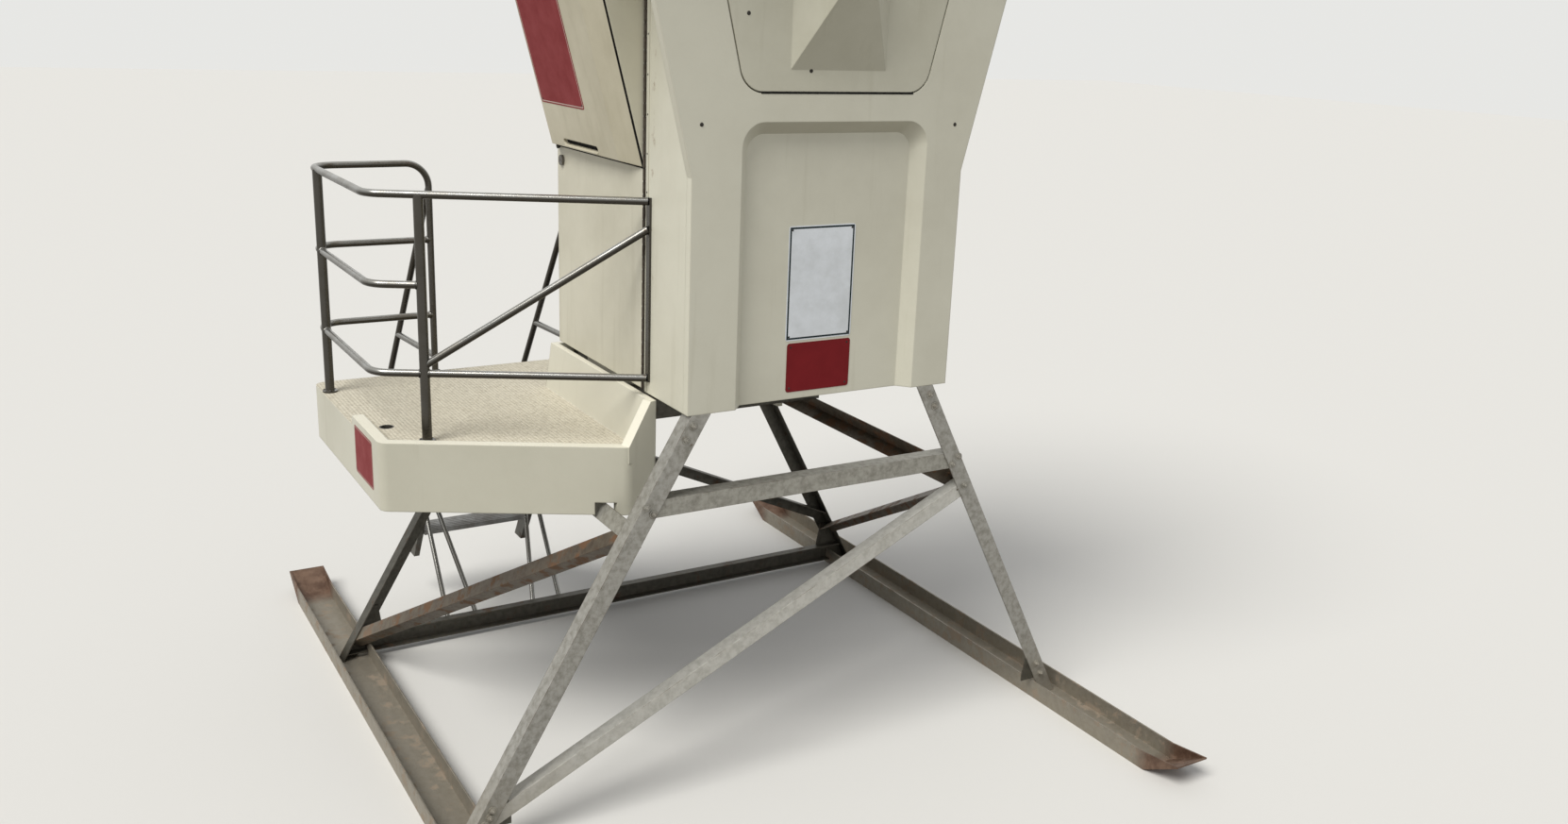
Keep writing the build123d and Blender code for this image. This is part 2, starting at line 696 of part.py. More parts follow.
def ground_beam():
    """Channel on the far side, low between the two runners."""
    y1 = FRAME_WIDTH - ANGLE_THICK
    y0 = y1 - GROUND_BEAM_WIDTH
    x0 = leg_x(True, 0)
    x1 = leg_x(False, 0)
    low = GROUND_BEAM_LIFT
    high = low + GROUND_BEAM_HEIGHT
    solid = block(x0, x1, y0, y1, low, high)
    hollow = block(x0, x1, y0, y1 - BRACE_THICK, low + BRACE_THICK, high - BRACE_THICK)
    return solid - hollow


def runner(front):
    """Skid runner: a wide channel with turned-up tips."""
    foot = LEG_FOOT_FRONT + RUNNER_SHIFT if front else LEG_FOOT_REAR - RUNNER_SHIFT
    near = -RUNNER_REACH
    far = FRAME_WIDTH + RUNNER_REACH
    slope = RUNNER_TIP_RISE / RUNNER_TIP
    tip_near = (near - RUNNER_TIP, RUNNER_TIP_RISE)
    tip_far = (far + RUNNER_TIP, RUNNER_TIP_RISE)
    plate = RUNNER_PLATE
    floor_points = [
        tip_near,
        (near, 0),
        (far, 0),
        tip_far,
        (tip_far[0], tip_far[1] + plate),
        (far - plate * slope / 2, plate),
        (near + plate * slope / 2, plate),
        (tip_near[0], tip_near[1] + plate),
    ]
    side_points = [
        tip_near,
        (near, 0),
        (far, 0),
        tip_far,
        (tip_far[0], tip_far[1] + plate),
        (far, RUNNER_SIDE),
        (near, RUNNER_SIDE),
        (tip_near[0], tip_near[1] + plate),
    ]
    x0 = foot - RUNNER_WIDTH / 2
    x1 = foot + RUNNER_WIDTH / 2
    sole = make_face(Polyline(*floor_points, close=True))
    floor = extrude(Plane.YZ.offset(x0) * sole, amount=RUNNER_WIDTH)
    cheek = make_face(Polyline(*side_points, close=True))
    front_side = extrude(Plane.YZ.offset(x0) * cheek, amount=plate)
    rear_side = extrude(Plane.YZ.offset(x1 - plate) * cheek, amount=plate)
    return floor + front_side + rear_side


def cross_tie_top():
    """Height of the upper edge of the cross ties."""
    return face_point(True, CROSS_Z - ANGLE / 2, 0)[2] + ANGLE * leg_direction(True).Z


def deck_beam(y, tail):
    """Beam under the deck that lies on the cross ties and ends at tail."""
    low = cross_tie_top()
    solid = block(-DECK_BEAM_FRONT, tail, y, y + BEAM_WIDTH, low, DECK_UNDER)
    web = BRACE_THICK
    hollow = block(-DECK_BEAM_FRONT, tail, y + web, y + BEAM_WIDTH, low + web, DECK_UNDER - web)
    return solid - hollow


def cabin_trestle():
    """Beam on the cross ties with two short posts up to the cabin's far wall."""
    low = cross_tie_top()
    y0 = CABIN_DEPTH - TRESTLE_BACK
    y1 = y0 + BEAM_WIDTH
    beam = block(leg_x(True, CROSS_Z), leg_x(False, CROSS_Z), y0, y1, low, DECK_UNDER)
    front = block(TRESTLE_INSET, TRESTLE_INSET + BEAM_WIDTH, y0, y1, DECK_UNDER, SILL)
    rear_x = CABIN_LENGTH - TRESTLE_INSET
    rear = block(rear_x - BEAM_WIDTH, rear_x, y0, y1, DECK_UNDER, SILL)
    return beam + front + rear


# Handrails

WALL_RAIL = (-WALL_BAR_THICK, WALL_BAR_Y - WALL_BAR_WIDTH / 2)
RAIL_SLOPE = (POST_NEAR_Y - WALL_RAIL[1]) / (WALL_RAIL[0] - POST_NEAR_X)
FRONT_CORNER = (FRONT_RAIL_X, WALL_RAIL[1] + (WALL_RAIL[0] - FRONT_RAIL_X) * RAIL_SLOPE)
FAR_CORNER = (FRONT_RAIL_X, FAR_RAIL_Y)
POST_FAR = (POST_FAR_X, FAR_RAIL_Y)
POST_LADDER = (2 * LADDER_X - POST_FAR_X, FAR_RAIL_Y)
REAR_CORNER = (CABIN_LENGTH - RAIL_INSET_REAR, FAR_RAIL_Y)
REAR_END = (CABIN_LENGTH - RAIL_INSET_REAR, CABIN_DEPTH)


def at(point, height):
    """Point of the deck plan at a height over the sill."""
    return (point[0], point[1], SILL + height)


def front_rail(height, from_wall):
    """Rail along the near edge, the front and the start of the far edge."""
    start = WALL_RAIL if from_wall else (POST_NEAR_X, POST_NEAR_Y)
    points = [at(p, height) for p in (start, FRONT_CORNER, FAR_CORNER, POST_FAR)]
    if height == RAIL_TOP:
        points.append(at(POST_FAR, -DECK_FLOOR_DROP))
    return tube(points, RAIL_RADIUS, RAIL_BEND)


def rear_rail(height):
    """Rail from the ladder round the rear corner to the cabin."""
    points = [at(p, height) for p in (POST_LADDER, REAR_CORNER, REAR_END)]
    if height == RAIL_TOP:
        points.insert(0, at(POST_LADDER, -DECK_FLOOR_DROP))
    return tube(points, RAIL_RADIUS, RAIL_BEND)


def flange(point):
    """Round foot flange on the deck floor."""
    place = Pos(point[0], point[1], DECK_FLOOR)
    return place * extrude(Circle(POST_FLANGE), amount=POST_FLANGE_THICK)


def post(point, top):
    """Post with a round foot flange on the deck floor."""
    place = Pos(point[0], point[1], DECK_FLOOR)
    return place * extrude(Circle(POST_RADIUS), amount=SILL + top - DECK_FLOOR) + flange(point)


# Ladder

LADDER_TOP = Vector(0, DECK_FAR, SILL - DECK_FLOOR_DROP - STRINGER_DEPTH)
LADDER_END = Vector(0, DECK_FAR + LADDER_RUN, 0)
LADDER_DOWN = (LADDER_END - LADDER_TOP).normalized()
LADDER_OUT = Vector(0, -LADDER_DOWN.Z, LADDER_DOWN.Y)


def stringer(x):
    """Flat side member from the deck's edge to the ground."""
    start = LADDER_TOP - LADDER_DOWN * STRINGER_DEPTH
    end = LADDER_END + LADDER_DOWN * STRINGER_DEPTH
    section = Rectangle(STRINGER_THICK, STRINGER_DEPTH)
    shape = bar((x, start.Y, start.Z), (x, end.Y, end.Z), section, (1, 0, 0))
    reach = LADDER_RUN + STRINGER_DEPTH
    keep = block(x - STRINGER_THICK, x + STRINGER_THICK, DECK_FAR, DECK_FAR + reach, LADDER_CLEAR, SILL)
    return shape & keep


def ladder_point(x, run, out=0.0):
    """Point of the ladder at a distance down from the deck and out from its line."""
    spot = LADDER_TOP + LADDER_DOWN * run + LADDER_OUT * out
    return (x, spot.Y, spot.Z)


def treads():
    """Level treads between the stringers, kept clear of the far legs."""
    half = LADDER_WIDTH / 2 - STRINGER_THICK / 2
    made = []
    low = DECK_FLOOR - TREAD_PITCH
    while low > LADDER_CLEAR:
        run = (LADDER_TOP.Z - low) / -LADDER_DOWN.Z
        middle = ladder_point(LADDER_X, run)[1]
        y0 = max(middle - TREAD_DEPTH / 2, FRAME_WIDTH + NOTCH_CLEAR)
        y1 = middle + TREAD_DEPTH / 2
        made.append(block(LADDER_X - half, LADDER_X + half, y0, y1, low, low + TREAD_THICK))
        low -= TREAD_PITCH
    return made


def ladder_handrail(seat_x, x, post_x):
    """Tube from a deck post down along the ladder and back to its stringer."""
    start_y = FAR_RAIL_Y + RAIL_RADIUS / 2
    head = Vector(post_x, start_y, SILL + RAIL_TOP - RAIL_BEND - RAIL_RADIUS)
    reach = (head - LADDER_TOP).dot(LADDER_OUT)
    turn = ladder_point(x, LADDER_RAIL_RUN, reach)
    seat = ladder_point(seat_x, LADDER_RAIL_RUN, STRINGER_DEPTH / 2)
    rail = tube([tuple(head), turn, seat], RAIL_RADIUS, RAIL_BEND)
    level = SILL - LADDER_LINK_DROP
    share = (head.Z - level) / (head.Z - turn[2])
    link_x = post_x + (x - post_x) * share
    link_y = start_y + (turn[1] - start_y) * share
    link = tube([(link_x, link_y, level), (post_x, start_y, level)], RAIL_RADIUS, 0)
    return rail + link


def ladder_prop(x_top, x_low):
    """Thin tube from the ladder back to the far ground beam."""
    top = ladder_point(x_top, LADDER_PROP_RUN)
    low_y = FRAME_WIDTH - ANGLE_THICK
    low_z = GROUND_BEAM_LIFT + GROUND_BEAM_HEIGHT / 2
    return tube([top, (x_low, low_y, low_z)], RAIL_RADIUS * 0.8, 0)


def frame_parts():
    """Legs, ties, diagonals, ground beam, bearers and runners by name."""
    made = {}
    for end, front in (("front", True), ("rear", False)):
        made[f"leg_near_{end}"] = near_leg(front, SILL)
        made[f"leg_far_{end}"] = to_far(near_leg(front, TIE_Z + ANGLE / 2))
        made[f"runner_{end}"] = runner(front)
    near_legs = (made["leg_near_front"], made["leg_near_rear"])
    far_legs = (made["leg_far_front"], made["leg_far_rear"])
    legs = near_legs + far_legs
    runners = (made["runner_front"], made["runner_rear"])
    made["tie_near"] = trim(side_tie(), *near_legs)
    made["tie_far"] = trim(to_far(side_tie()), *far_legs)
    ties = (made["tie_near"], made["tie_far"])
    made["tie_front"] = trim(cross_tie(True), *legs, *ties)
    made["tie_rear"] = trim(cross_tie(False), *legs, *ties)
    made["ground_beam_far"] = trim(ground_beam(), *far_legs, *runners)
    crosses = (made["tie_front"], made["tie_rear"])
    level = (*ties, *crosses, made["ground_beam_far"], *runners)
    made["diagonal_near"] = trim(side_diagonal(), *near_legs, *level)
    made["diagonal_far"] = trim(far_diagonal(), *far_legs, *level)
    sides = (made["diagonal_near"], made["diagonal_far"])
    for end, front in (("front", True), ("rear", False)):
        made[f"diagonal_{end}"] = trim(cross_diagonal(front), *legs, *level, *sides)
    near_tail = leg_x(True, CROSS_Z) + DECK_BEAM_TAIL
    far_tail = leg_x(False, CROSS_Z)
    far_y = DECK_FAR - DECK_BEAM_FAR_INSET
    made["deck_beam_near"] = trim(deck_beam(DECK_BEAM_NEAR, near_tail), *crosses)
    made["deck_beam_far"] = trim(deck_beam(far_y, far_tail), *crosses)
    made["cabin_trestle"] = trim(cabin_trestle(), *crosses)
    return made


def cabin_parts():
    """Walls, shutters, roof, floor and door by name."""
    near_shutter = shutter(window_plane(NEAR_PLANE, WINDOW_BOTTOM))
    return {
        "near_wall": near_wall(),
        "far_wall": far_wall(),
        "rear_wall": rear_wall(),
        "front_wall_strip": front_wall_strip(),
        "front_wall_over_door": front_wall_over_door(),
        "cabin_floor": cabin_floor(),
        "roof": roof(),
        "near_shutter": near_shutter,
        "far_shutter": mirror(near_shutter, about=FAR_MIRROR),
        "rear_shutter": shutter(window_plane(REAR_HIGH_PLANE, WINDOW_BOTTOM - WAIST)),
        "door": door(),
        "door_hatch": door_hatch(),
        "door_hinge": door_hinge(),
        "door_lock": door_lock(),
    }


def notched(tray, *members):
    """Deck with its skirt notched where members of the frame pass under it."""
    for member in members:
        box = member.bounding_box()
        clear = NOTCH_CLEAR
        tray = tray - block(
            box.min.X - clear,
            box.max.X + clear,
            box.min.Y - clear,
            box.max.Y + clear,
            box.min.Z - clear,
            min(box.max.Z + clear, DECK_UNDER),
        )
    return tray


def deck_parts(frame):
    """Deck tray, socket, handrails and ladder by name."""
    z0 = SILL + RAIL_LOWER - RAIL_RADIUS
    z1 = SILL + RAIL_TOP + RAIL_RADIUS
    y0 = WALL_BAR_Y - WALL_BAR_WIDTH
    wall_bar = block(-WALL_BAR_THICK, 0, y0, WALL_BAR_Y, z0, z1)
    rails_top = front_rail(RAIL_TOP, True) + flange(POST_FAR) - wall_bar
    rear_top = rear_rail(RAIL_TOP) + flange(POST_LADDER)
    far_post = (FAR_CORNER[0], FAR_CORNER[1] - POST_CORNER)
    rear_post = (REAR_CORNER[0], REAR_CORNER[1] - POST_CORNER)
    spots = [(POST_NEAR_X, POST_NEAR_Y), far_post, rear_post]
    posts = Part() + [post(p, RAIL_TOP) for p in spots]
    hole = Pos(-SOCKET_X, SOCKET_Y, 0) * extrude(Circle(SOCKET_RADIUS), amount=SILL)
    crossing = ("tie_front", "tie_far", "tie_rear", "deck_beam_far", "deck_beam_near", "cabin_trestle")
    tray = notched(deck(), *[frame[name] for name in crossing]) - hole
    made = {
        "deck": tray,
        "deck_socket": deck_socket(),
        "handrail_wall_bar": wall_bar,
        "handrail_top_front": rails_top,
        "handrail_top_rear": rear_top,
        "handrail_posts": posts - rails_top - rear_top,
    }
    brace_top = at(WALL_RAIL, BRACE_RAISE)
    brace_low = at((POST_NEAR_X, POST_NEAR_Y), RAIL_LOWER + 2 * RAIL_RADIUS)
    lower = front_rail(RAIL_LOWER, True) - posts - wall_bar - rails_top
    made["handrail_lower_front"] = lower
    made["handrail_middle_front"] = front_rail(RAIL_MIDDLE, False) - posts - rails_top
    made["handrail_lower_rear"] = rear_rail(RAIL_LOWER) - posts - rear_top
    made["handrail_middle_rear"] = rear_rail(RAIL_MIDDLE) - posts - rear_top
    diagonal = tube([brace_top, brace_low], RAIL_RADIUS, 0)
    made["handrail_diagonal"] = trim(diagonal, posts, lower, rails_top, wall_bar, front_wall_strip())
    left = LADDER_X - LADDER_WIDTH / 2
    right = LADDER_X + LADDER_WIDTH / 2
    made["ladder_stringer_left"] = trim(stringer(left), frame["tie_far"])
    made["ladder_stringer_right"] = trim(stringer(right), frame["tie_far"])
    stringers = (made["ladder_stringer_left"], made["ladder_stringer_right"])
    made["ladder_treads"] = Part() + treads()
    sides = (
        ("left", left, LADDER_RAIL_LEFT, POST_FAR_X),
        ("right", right, LADDER_RAIL_RIGHT, POST_LADDER[0]),
    )
    for name, seat_x, x, post_x in sides:
        rail = ladder_handrail(seat_x, x, post_x)
        made[f"ladder_handrail_{name}"] = trim(rail, *stringers, made["ladder_treads"], rails_top, rear_top)
    edge = 2 * STRINGER_THICK
    inner = LADDER_PROP_INSET
    props = [ladder_prop(left, left), ladder_prop(right, right)]
    braces = [ladder_prop(left + edge, LADDER_X - inner), ladder_prop(right - edge, LADDER_X + inner)]
    met = (*stringers, made["ladder_treads"], frame["ground_beam_far"])
    made["ladder_props"] = Part() + [trim(p, *met) for p in props]
    made["ladder_braces"] = Part() + [trim(p, *met) for p in braces]
    return made


def write_parts():
    """Write every piece with the origin at the middle of the footprint."""
    os.makedirs("parts", exist_ok=True)
    frame = frame_parts()
    pieces = {**frame, **cabin_parts(), **deck_parts(frame)}
    box = Compound(list(pieces.values())).bounding_box()
    middle = box.center()
    for name, shape in pieces.items():
        moved = Pos(-middle.X, -middle.Y, 0) * shape
        export_step(moved, f"parts/{name}.step")


write_parts()
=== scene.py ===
import math

import bmesh
import bpy
from mathutils import Matrix, Vector


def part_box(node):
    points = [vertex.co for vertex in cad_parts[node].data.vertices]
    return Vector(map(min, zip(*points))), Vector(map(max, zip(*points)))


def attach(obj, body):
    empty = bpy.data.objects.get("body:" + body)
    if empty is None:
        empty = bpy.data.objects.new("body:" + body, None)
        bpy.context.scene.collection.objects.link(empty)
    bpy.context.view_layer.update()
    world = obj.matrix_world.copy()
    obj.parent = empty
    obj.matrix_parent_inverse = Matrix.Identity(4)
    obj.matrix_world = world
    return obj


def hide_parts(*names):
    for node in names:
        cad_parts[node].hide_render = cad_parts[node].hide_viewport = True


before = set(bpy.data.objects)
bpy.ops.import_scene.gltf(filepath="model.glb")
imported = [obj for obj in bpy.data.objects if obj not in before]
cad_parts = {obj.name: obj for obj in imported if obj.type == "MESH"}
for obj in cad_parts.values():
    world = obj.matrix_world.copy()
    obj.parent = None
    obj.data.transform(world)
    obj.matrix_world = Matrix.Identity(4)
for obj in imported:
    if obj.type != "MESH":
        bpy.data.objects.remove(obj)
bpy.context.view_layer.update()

# The camera looks at the tower's plain near side and its front, from a point a little higher
# than the handrails. The upper edge of its frame cuts the roof.
scene = bpy.context.scene
camera_data = bpy.data.cameras.new("camera")
camera_data.sensor_fit = "HORIZONTAL"
camera_data.sensor_width = 36.0
camera_data.lens = 30.88
camera_data.clip_end = 300.0
camera = bpy.data.objects.new("camera", camera_data)
scene.collection.objects.link(camera)
bpy.context.scene.camera = camera
camera_forward = Vector((0.50015, 0.81811, -0.28355)).normalized()
camera_right = Vector((0.85841, -0.51169, 0.03781))
camera_right = (camera_right - camera_forward * camera_right.dot(camera_forward)).normalized()
camera_up = camera_right.cross(camera_forward)
camera_place = Matrix((camera_right, camera_up, -camera_forward)).transposed().to_4x4()
camera_place.translation = (-2.948, -5.621, 3.318)
camera.matrix_world = camera_place

# The studio is a wide pale floor under an even sky, with one very soft lamp high on the deck
# side, so that the undersides stay readable and the metal has something pale to reflect.
scene.view_settings.view_transform = "Standard"


def feed(tree, socket, value):
    """Link an output to a socket, or set the socket to a number, a colour or a direction."""
    if isinstance(value, bpy.types.NodeSocket):
        tree.links.new(value, socket)
    elif socket.type == "RGBA":
        socket.default_value = (*value, 1)
    else:
        socket.default_value = value


def fed_node(tree, kind, inputs):
    """New node with its inputs fed, by their labels or places."""
    node = tree.nodes.new(kind)
    for label, value in inputs.items():
        feed(tree, node.inputs[label], value)
    return node


def reckoned(tree, operation, *values):
    """Result of one step of arithmetic on outputs or numbers."""
    node = tree.nodes.new("ShaderNodeMath")
    node.operation = operation
    for socket, value in zip(node.inputs, values):
        feed(tree, socket, value)
    return node.outputs[0]


def mixed(tree, factor, first, second, blend="MIX"):
    """Colour that goes from first to second by a factor."""
    node = tree.nodes.new("ShaderNodeMix")
    node.data_type = "RGBA"
    node.blend_type = blend
    for label, value in (("Factor", factor), ("A", first), ("B", second)):
        feed(tree, node.inputs[label], value)
    return node.outputs["Result"]


def new_look(name):
    """New material, with its node tree and its shader."""
    look = bpy.data.materials.new(name)
    look.use_nodes = True
    return look, look.node_tree, look.node_tree.nodes["Principled BSDF"]


floor_reach = 60.0
floor_mesh = bpy.data.meshes.new("studio_floor")
floor_mesh.from_pydata(
    [(x * floor_reach, y * floor_reach, 0) for x, y in ((-1, -1), (1, -1), (1, 1), (-1, 1))],
    [], [(0, 1, 2, 3)],
)
studio_floor = bpy.data.objects.new("studio_floor", floor_mesh)
scene.collection.objects.link(studio_floor)
floor_look, floor_tree, floor_shader = new_look("pale floor")
floor_shader.inputs["Roughness"].default_value = 0.9
floor_shader.inputs["Specular IOR Level"].default_value = 0.1
bounced = floor_tree.nodes.new("ShaderNodeLightPath").outputs["Is Diffuse Ray"]
floor_color = mixed(floor_tree, bounced, (0.74, 0.73, 0.70), (0.46, 0.45, 0.42))
feed(floor_tree, floor_shader.inputs["Base Color"], floor_color)
floor_mesh.materials.append(floor_look)

sky = bpy.data.worlds.new("studio sky")
scene.world = sky
sky.use_nodes = True
sky_tree = sky.node_tree
sky_light = sky_tree.nodes["Background"]
sky_light.inputs["Color"].default_value = (0.97, 0.98, 1.0, 1)
sky_light.inputs["Strength"].default_value = 0.45
sky_seen = fed_node(sky_tree, "ShaderNodeBackground", {"Color": (0.80, 0.80, 0.78), "Strength": 1.0})
sky_paths = sky_tree.nodes.new("ShaderNodeLightPath")
seen = reckoned(sky_tree, "MAXIMUM", sky_paths.outputs["Is Camera Ray"], sky_paths.outputs["Is Glossy Ray"])
seen = reckoned(sky_tree, "MAXIMUM", seen, sky_paths.outputs["Is Transmission Ray"])
sky_mix = fed_node(
    sky_tree, "ShaderNodeMixShader", {0: seen, 1: sky_light.outputs[0], 2: sky_seen.outputs[0]}
)
sky_tree.links.new(sky_mix.outputs[0], sky_tree.nodes["World Output"].inputs["Surface"])

lamp_data = bpy.data.lights.new("soft lamp", "SUN")
lamp_data.energy = 2.65
lamp_data.angle = math.radians(32)
lamp_data.color = (1.0, 0.985, 0.95)
lamp = bpy.data.objects.new("soft lamp", lamp_data)
scene.collection.objects.link(lamp)
lamp.rotation_mode = "QUATERNION"
lamp.rotation_quaternion = Vector((-0.58, -0.24, 0.78)).to_track_quat("Z", "Y")

# The frame's legs, ties and diagonals are hot-dipped steel angle, bolted together, with gusset
# plates at the feet. Years of salt air have dulled the zinc to grey, with brown runs and pits
# where it has worn through.


def here(tree):
    """Place on the piece, in metres."""
    return tree.nodes.new("ShaderNodeTexCoord").outputs["Object"]


def coordinate(tree, vector, axis):
    """One coordinate of a place or a direction."""
    return fed_node(tree, "ShaderNodeSeparateXYZ", {0: vector}).outputs[axis]


def noise(tree, place, size, detail, rough=0.5):
    """Noise over a place, from 0 to 1."""
    inputs = {"Vector": place, "Scale": size, "Detail": detail, "Roughness": rough}
    return fed_node(tree, "ShaderNodeTexNoise", inputs).outputs[0]


def spread_value(tree, value, low, high, start=0.0, end=1.0):
    """A value that goes from low to high as another goes from start to end."""
    inputs = {"Value": value, "From Min": start, "From Max": end, "To Min": low, "To Max": high}
    return fed_node(tree, "ShaderNodeMapRange", inputs).outputs[0]


def new_group(name, inputs, outputs):
    """Shader node group with named inputs at their usual values, and named outputs."""
    group = bpy.data.node_groups.new(name, "ShaderNodeTree")
    for label, value in inputs.items():
        if isinstance(value, tuple):
            socket = group.interface.new_socket(label, in_out="INPUT", socket_type="NodeSocketColor")
            socket.default_value = (*value, 1)
        else:
            socket = group.interface.new_socket(label, in_out="INPUT", socket_type="NodeSocketFloat")
            socket.default_value = value
    for label, kind in outputs.items():
        group.interface.new_socket(label, in_out="OUTPUT", socket_type=kind)
    given = group.nodes.new("NodeGroupInput")
    result = group.nodes.new("NodeGroupOutput")
    return group, given.outputs, result.inputs


def blotch_group():
    """Soft-edged stains mixed over a clean colour."""
    group, given, result = new_group(
        "blotches",
        {"Clean": (0.5, 0.5, 0.5), "Stain": (0.2, 0.2, 0.2), "Size": 3.0, "Cover": 0.5, "Softness": 0.2},
        {"Color": "NodeSocketColor", "Mask": "NodeSocketFloat"},
    )
    edge = reckoned(group, "SUBTRACT", 1.0, given["Cover"])
    start = reckoned(group, "SUBTRACT", edge, given["Softness"])
    end = reckoned(group, "ADD", edge, given["Softness"])
    broad = noise(group, here(group), given["Size"], 6.0, 0.65)
    mask = spread_value(group, broad, 0.0, 1.0, start, end)
    mask.node.interpolation_type = "SMOOTHSTEP"
    feed(group, result["Color"], mixed(group, mask, given["Clean"], given["Stain"]))
    feed(group, result["Mask"], mask)
    return group


def run_group():
    """Dirt and rust that has run down: noise drawn out along Z, kept below a cover level."""
    group, given, result = new_group("runs", {"Size": 9.0, "Cover": 0.4}, {"Mask": "NodeSocketFloat"})
    drawn = fed_node(group, "ShaderNodeMapping", {"Vector": here(group), "Scale": (1.0, 1.0, 0.07)})
    runs = noise(group, drawn.outputs[0], given["Size"], 5.0, 0.6)
    level = reckoned(group, "SUBTRACT", 0.95, given["Cover"])
    feed(group, result["Mask"], spread_value(group, runs, 0.0, 1.0, level, 0.85))
    return group


def height_group():
    """Mask that is 1 near the ground and fades out with height and a ragged edge."""
    group, given, result = new_group(
        "near the ground", {"Low": 0.05, "High": 0.5}, {"Mask": "NodeSocketFloat"}
    )
    ragged = noise(group, here(group), 14.0, 4.0)
    height = reckoned(group, "MULTIPLY_ADD", ragged, 0.3, coordinate(group, here(group), "Z"))
    feed(group, result["Mask"], spread_value(group, height, 1.0, 0.0, given["Low"], given["High"]))
    return group


def worn_edge_group():
    """Soft rounded normal for an edge, and a mask of where it is."""
    group, given, result = new_group(
        "worn edges", {"Radius": 0.004}, {"Normal": "NodeSocketVector", "Mask": "NodeSocketFloat"}
    )
    rounded = fed_node(group, "ShaderNodeBevel", {"Radius": given["Radius"]})
    rounded.samples = 6
    flat = group.nodes.new("ShaderNodeNewGeometry").outputs["True Normal"]
    agree = fed_node(group, "ShaderNodeVectorMath", {0: rounded.outputs["Normal"], 1: flat})
    agree.operation = "DOT_PRODUCT"
    feed(group, result["Normal"], rounded.outputs["Normal"])
    feed(group, result["Mask"], spread_value(group, agree.outputs["Value"], 0.0, 1.0, 0.995, 0.85))
    return group


BLOTCHES = blotch_group()
RUNS = run_group()
NEAR_GROUND = height_group()
WORN_EDGES = worn_edge_group()


def placed(tree, group, **values):
    """A node group placed in a material, with its own values."""
    node = tree.nodes.new("ShaderNodeGroup")
    node.node_tree = group
    for label, value in values.items():
        feed(tree, node.inputs[label], value)
    return node


def shaded(color, red, green, blue):
    """A colour with each of its three parts weakened or strengthened."""
    return (color[0] * red, color[1] * green, color[2] * blue)


def roughened(tree, shader, size, depth, detail, under=None):
    """Fine bump from noise on a shader's normal, over a softened one where it is given."""
    grain = noise(tree, here(tree), size, detail)
    bump = fed_node(tree, "ShaderNodeBump", {"Height": grain, "Distance": depth, "Strength": 0.6})
    if under is not None:
        feed(tree, bump.inputs["Normal"], under)
    feed(tree, shader.inputs["Normal"], bump.outputs[0])


def steel(name, clean, dull, brown, rust_cover, dust):
    """Weathered steel angle: mottled zinc, rust in pits and on edges, and dust near the ground."""
    look, tree, shader = new_look(name)
    zinc = placed(tree, BLOTCHES, Clean=clean, Stain=dull, Size=34.0, Cover=0.46, Softness=0.2)
    zinc_color = zinc.outputs["Color"]
    pits = placed(tree, BLOTCHES, Clean=zinc_color, Stain=brown, Size=12.0, Cover=rust_cover, Softness=0.05)
    drawn = placed(tree, RUNS, Size=30.0, Cover=0.36)
    stained = mixed(tree, drawn.outputs["Mask"], pits.outputs["Color"], dull)
    edges = placed(tree, WORN_EDGES, Radius=0.004)
    patchy = placed(tree, BLOTCHES, Size=7.0, Softness=0.1)
    edge_rust = reckoned(tree, "MULTIPLY", edges.outputs["Mask"], patchy.outputs["Mask"])
    stained = mixed(tree, edge_rust, stained, shaded(brown, 0.6, 0.6, 0.6))
    ground = placed(tree, NEAR_GROUND, Low=0.18, High=0.55)
    dusty = spread_value(tree, ground.outputs["Mask"], 0.0, dust)
    feed(tree, shader.inputs["Base Color"], mixed(tree, dusty, stained, (0.36, 0.32, 0.25)))
    feed(tree, shader.inputs["Roughness"], spread_value(tree, pits.outputs["Mask"], 0.48, 0.85))
    feed(tree, shader.inputs["Metallic"], spread_value(tree, pits.outputs["Mask"], 0.45, 0.0))
    roughened(tree, shader, 160.0, 0.0012, 6.0, edges.outputs["Normal"])
    return look


def dress(names, look):
    """Give CAD nodes a finish."""
    for name in names:
        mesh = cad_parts[name].data
        mesh.materials.clear()
        mesh.materials.append(look)


pale_zinc = steel(
    "weathered zinc", (0.375, 0.365, 0.335), (0.23, 0.22, 0.19), (0.13, 0.08, 0.045), 0.31, 0.45
)
# The ties' copy of the zinc is a little darker and the near diagonal's much paler: painted shade and painted
# light, set for each part.
tie_shade_zinc = steel("zinc a shade darker", (0.36, 0.35, 0.31), (0.22, 0.21, 0.18), (0.15, 0.09, 0.05), 0.30, 0.55)
painted_light_zinc = steel("zinc with painted light", (0.56, 0.55, 0.51), (0.42, 0.41, 0.37), (0.17, 0.11, 0.06), 0.26, 0.55)
# Much darker copy of the zinc, as painted shade: it goes on the far side, under the deck and cabin, behind
# the leg flanges and on the ladder's stringers.
painted_shade_zinc = steel(
    "zinc with painted shade", (0.085, 0.08, 0.064), (0.045, 0.042, 0.032), (0.075, 0.043, 0.024), 0.38, 0.06
)
brown_steel = steel(
    "rusted steel", (0.12, 0.098, 0.07), (0.07, 0.05, 0.034), (0.12, 0.062, 0.03), 0.46, 0.35
)
dress(("leg_near_front", "leg_near_rear"), pale_zinc)
dress(("tie_near", "tie_front"), tie_shade_zinc)
dress(("diagonal_near",), painted_light_zinc)
dress(("leg_far_front", "leg_far_rear", "tie_far", "diagonal_far", "ground_beam_far"), painted_shade_zinc)
dress(("deck_beam_near", "deck_beam_far", "cabin_trestle"), painted_shade_zinc)
dress(("tie_rear", "diagonal_front", "diagonal_rear"), brown_steel)


def made_piece(name, shape, look, body="root"):
    """Object from a bmesh, with its finish and body."""
    bmesh.ops.recalc_face_normals(shape, faces=shape.faces)
    mesh = bpy.data.meshes.new(name)
    shape.to_mesh(mesh)
    shape.free()
    mesh.materials.append(look)
    piece = bpy.data.objects.new(name, mesh)
    scene.collection.objects.link(piece)
    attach(piece, body)
    return piece


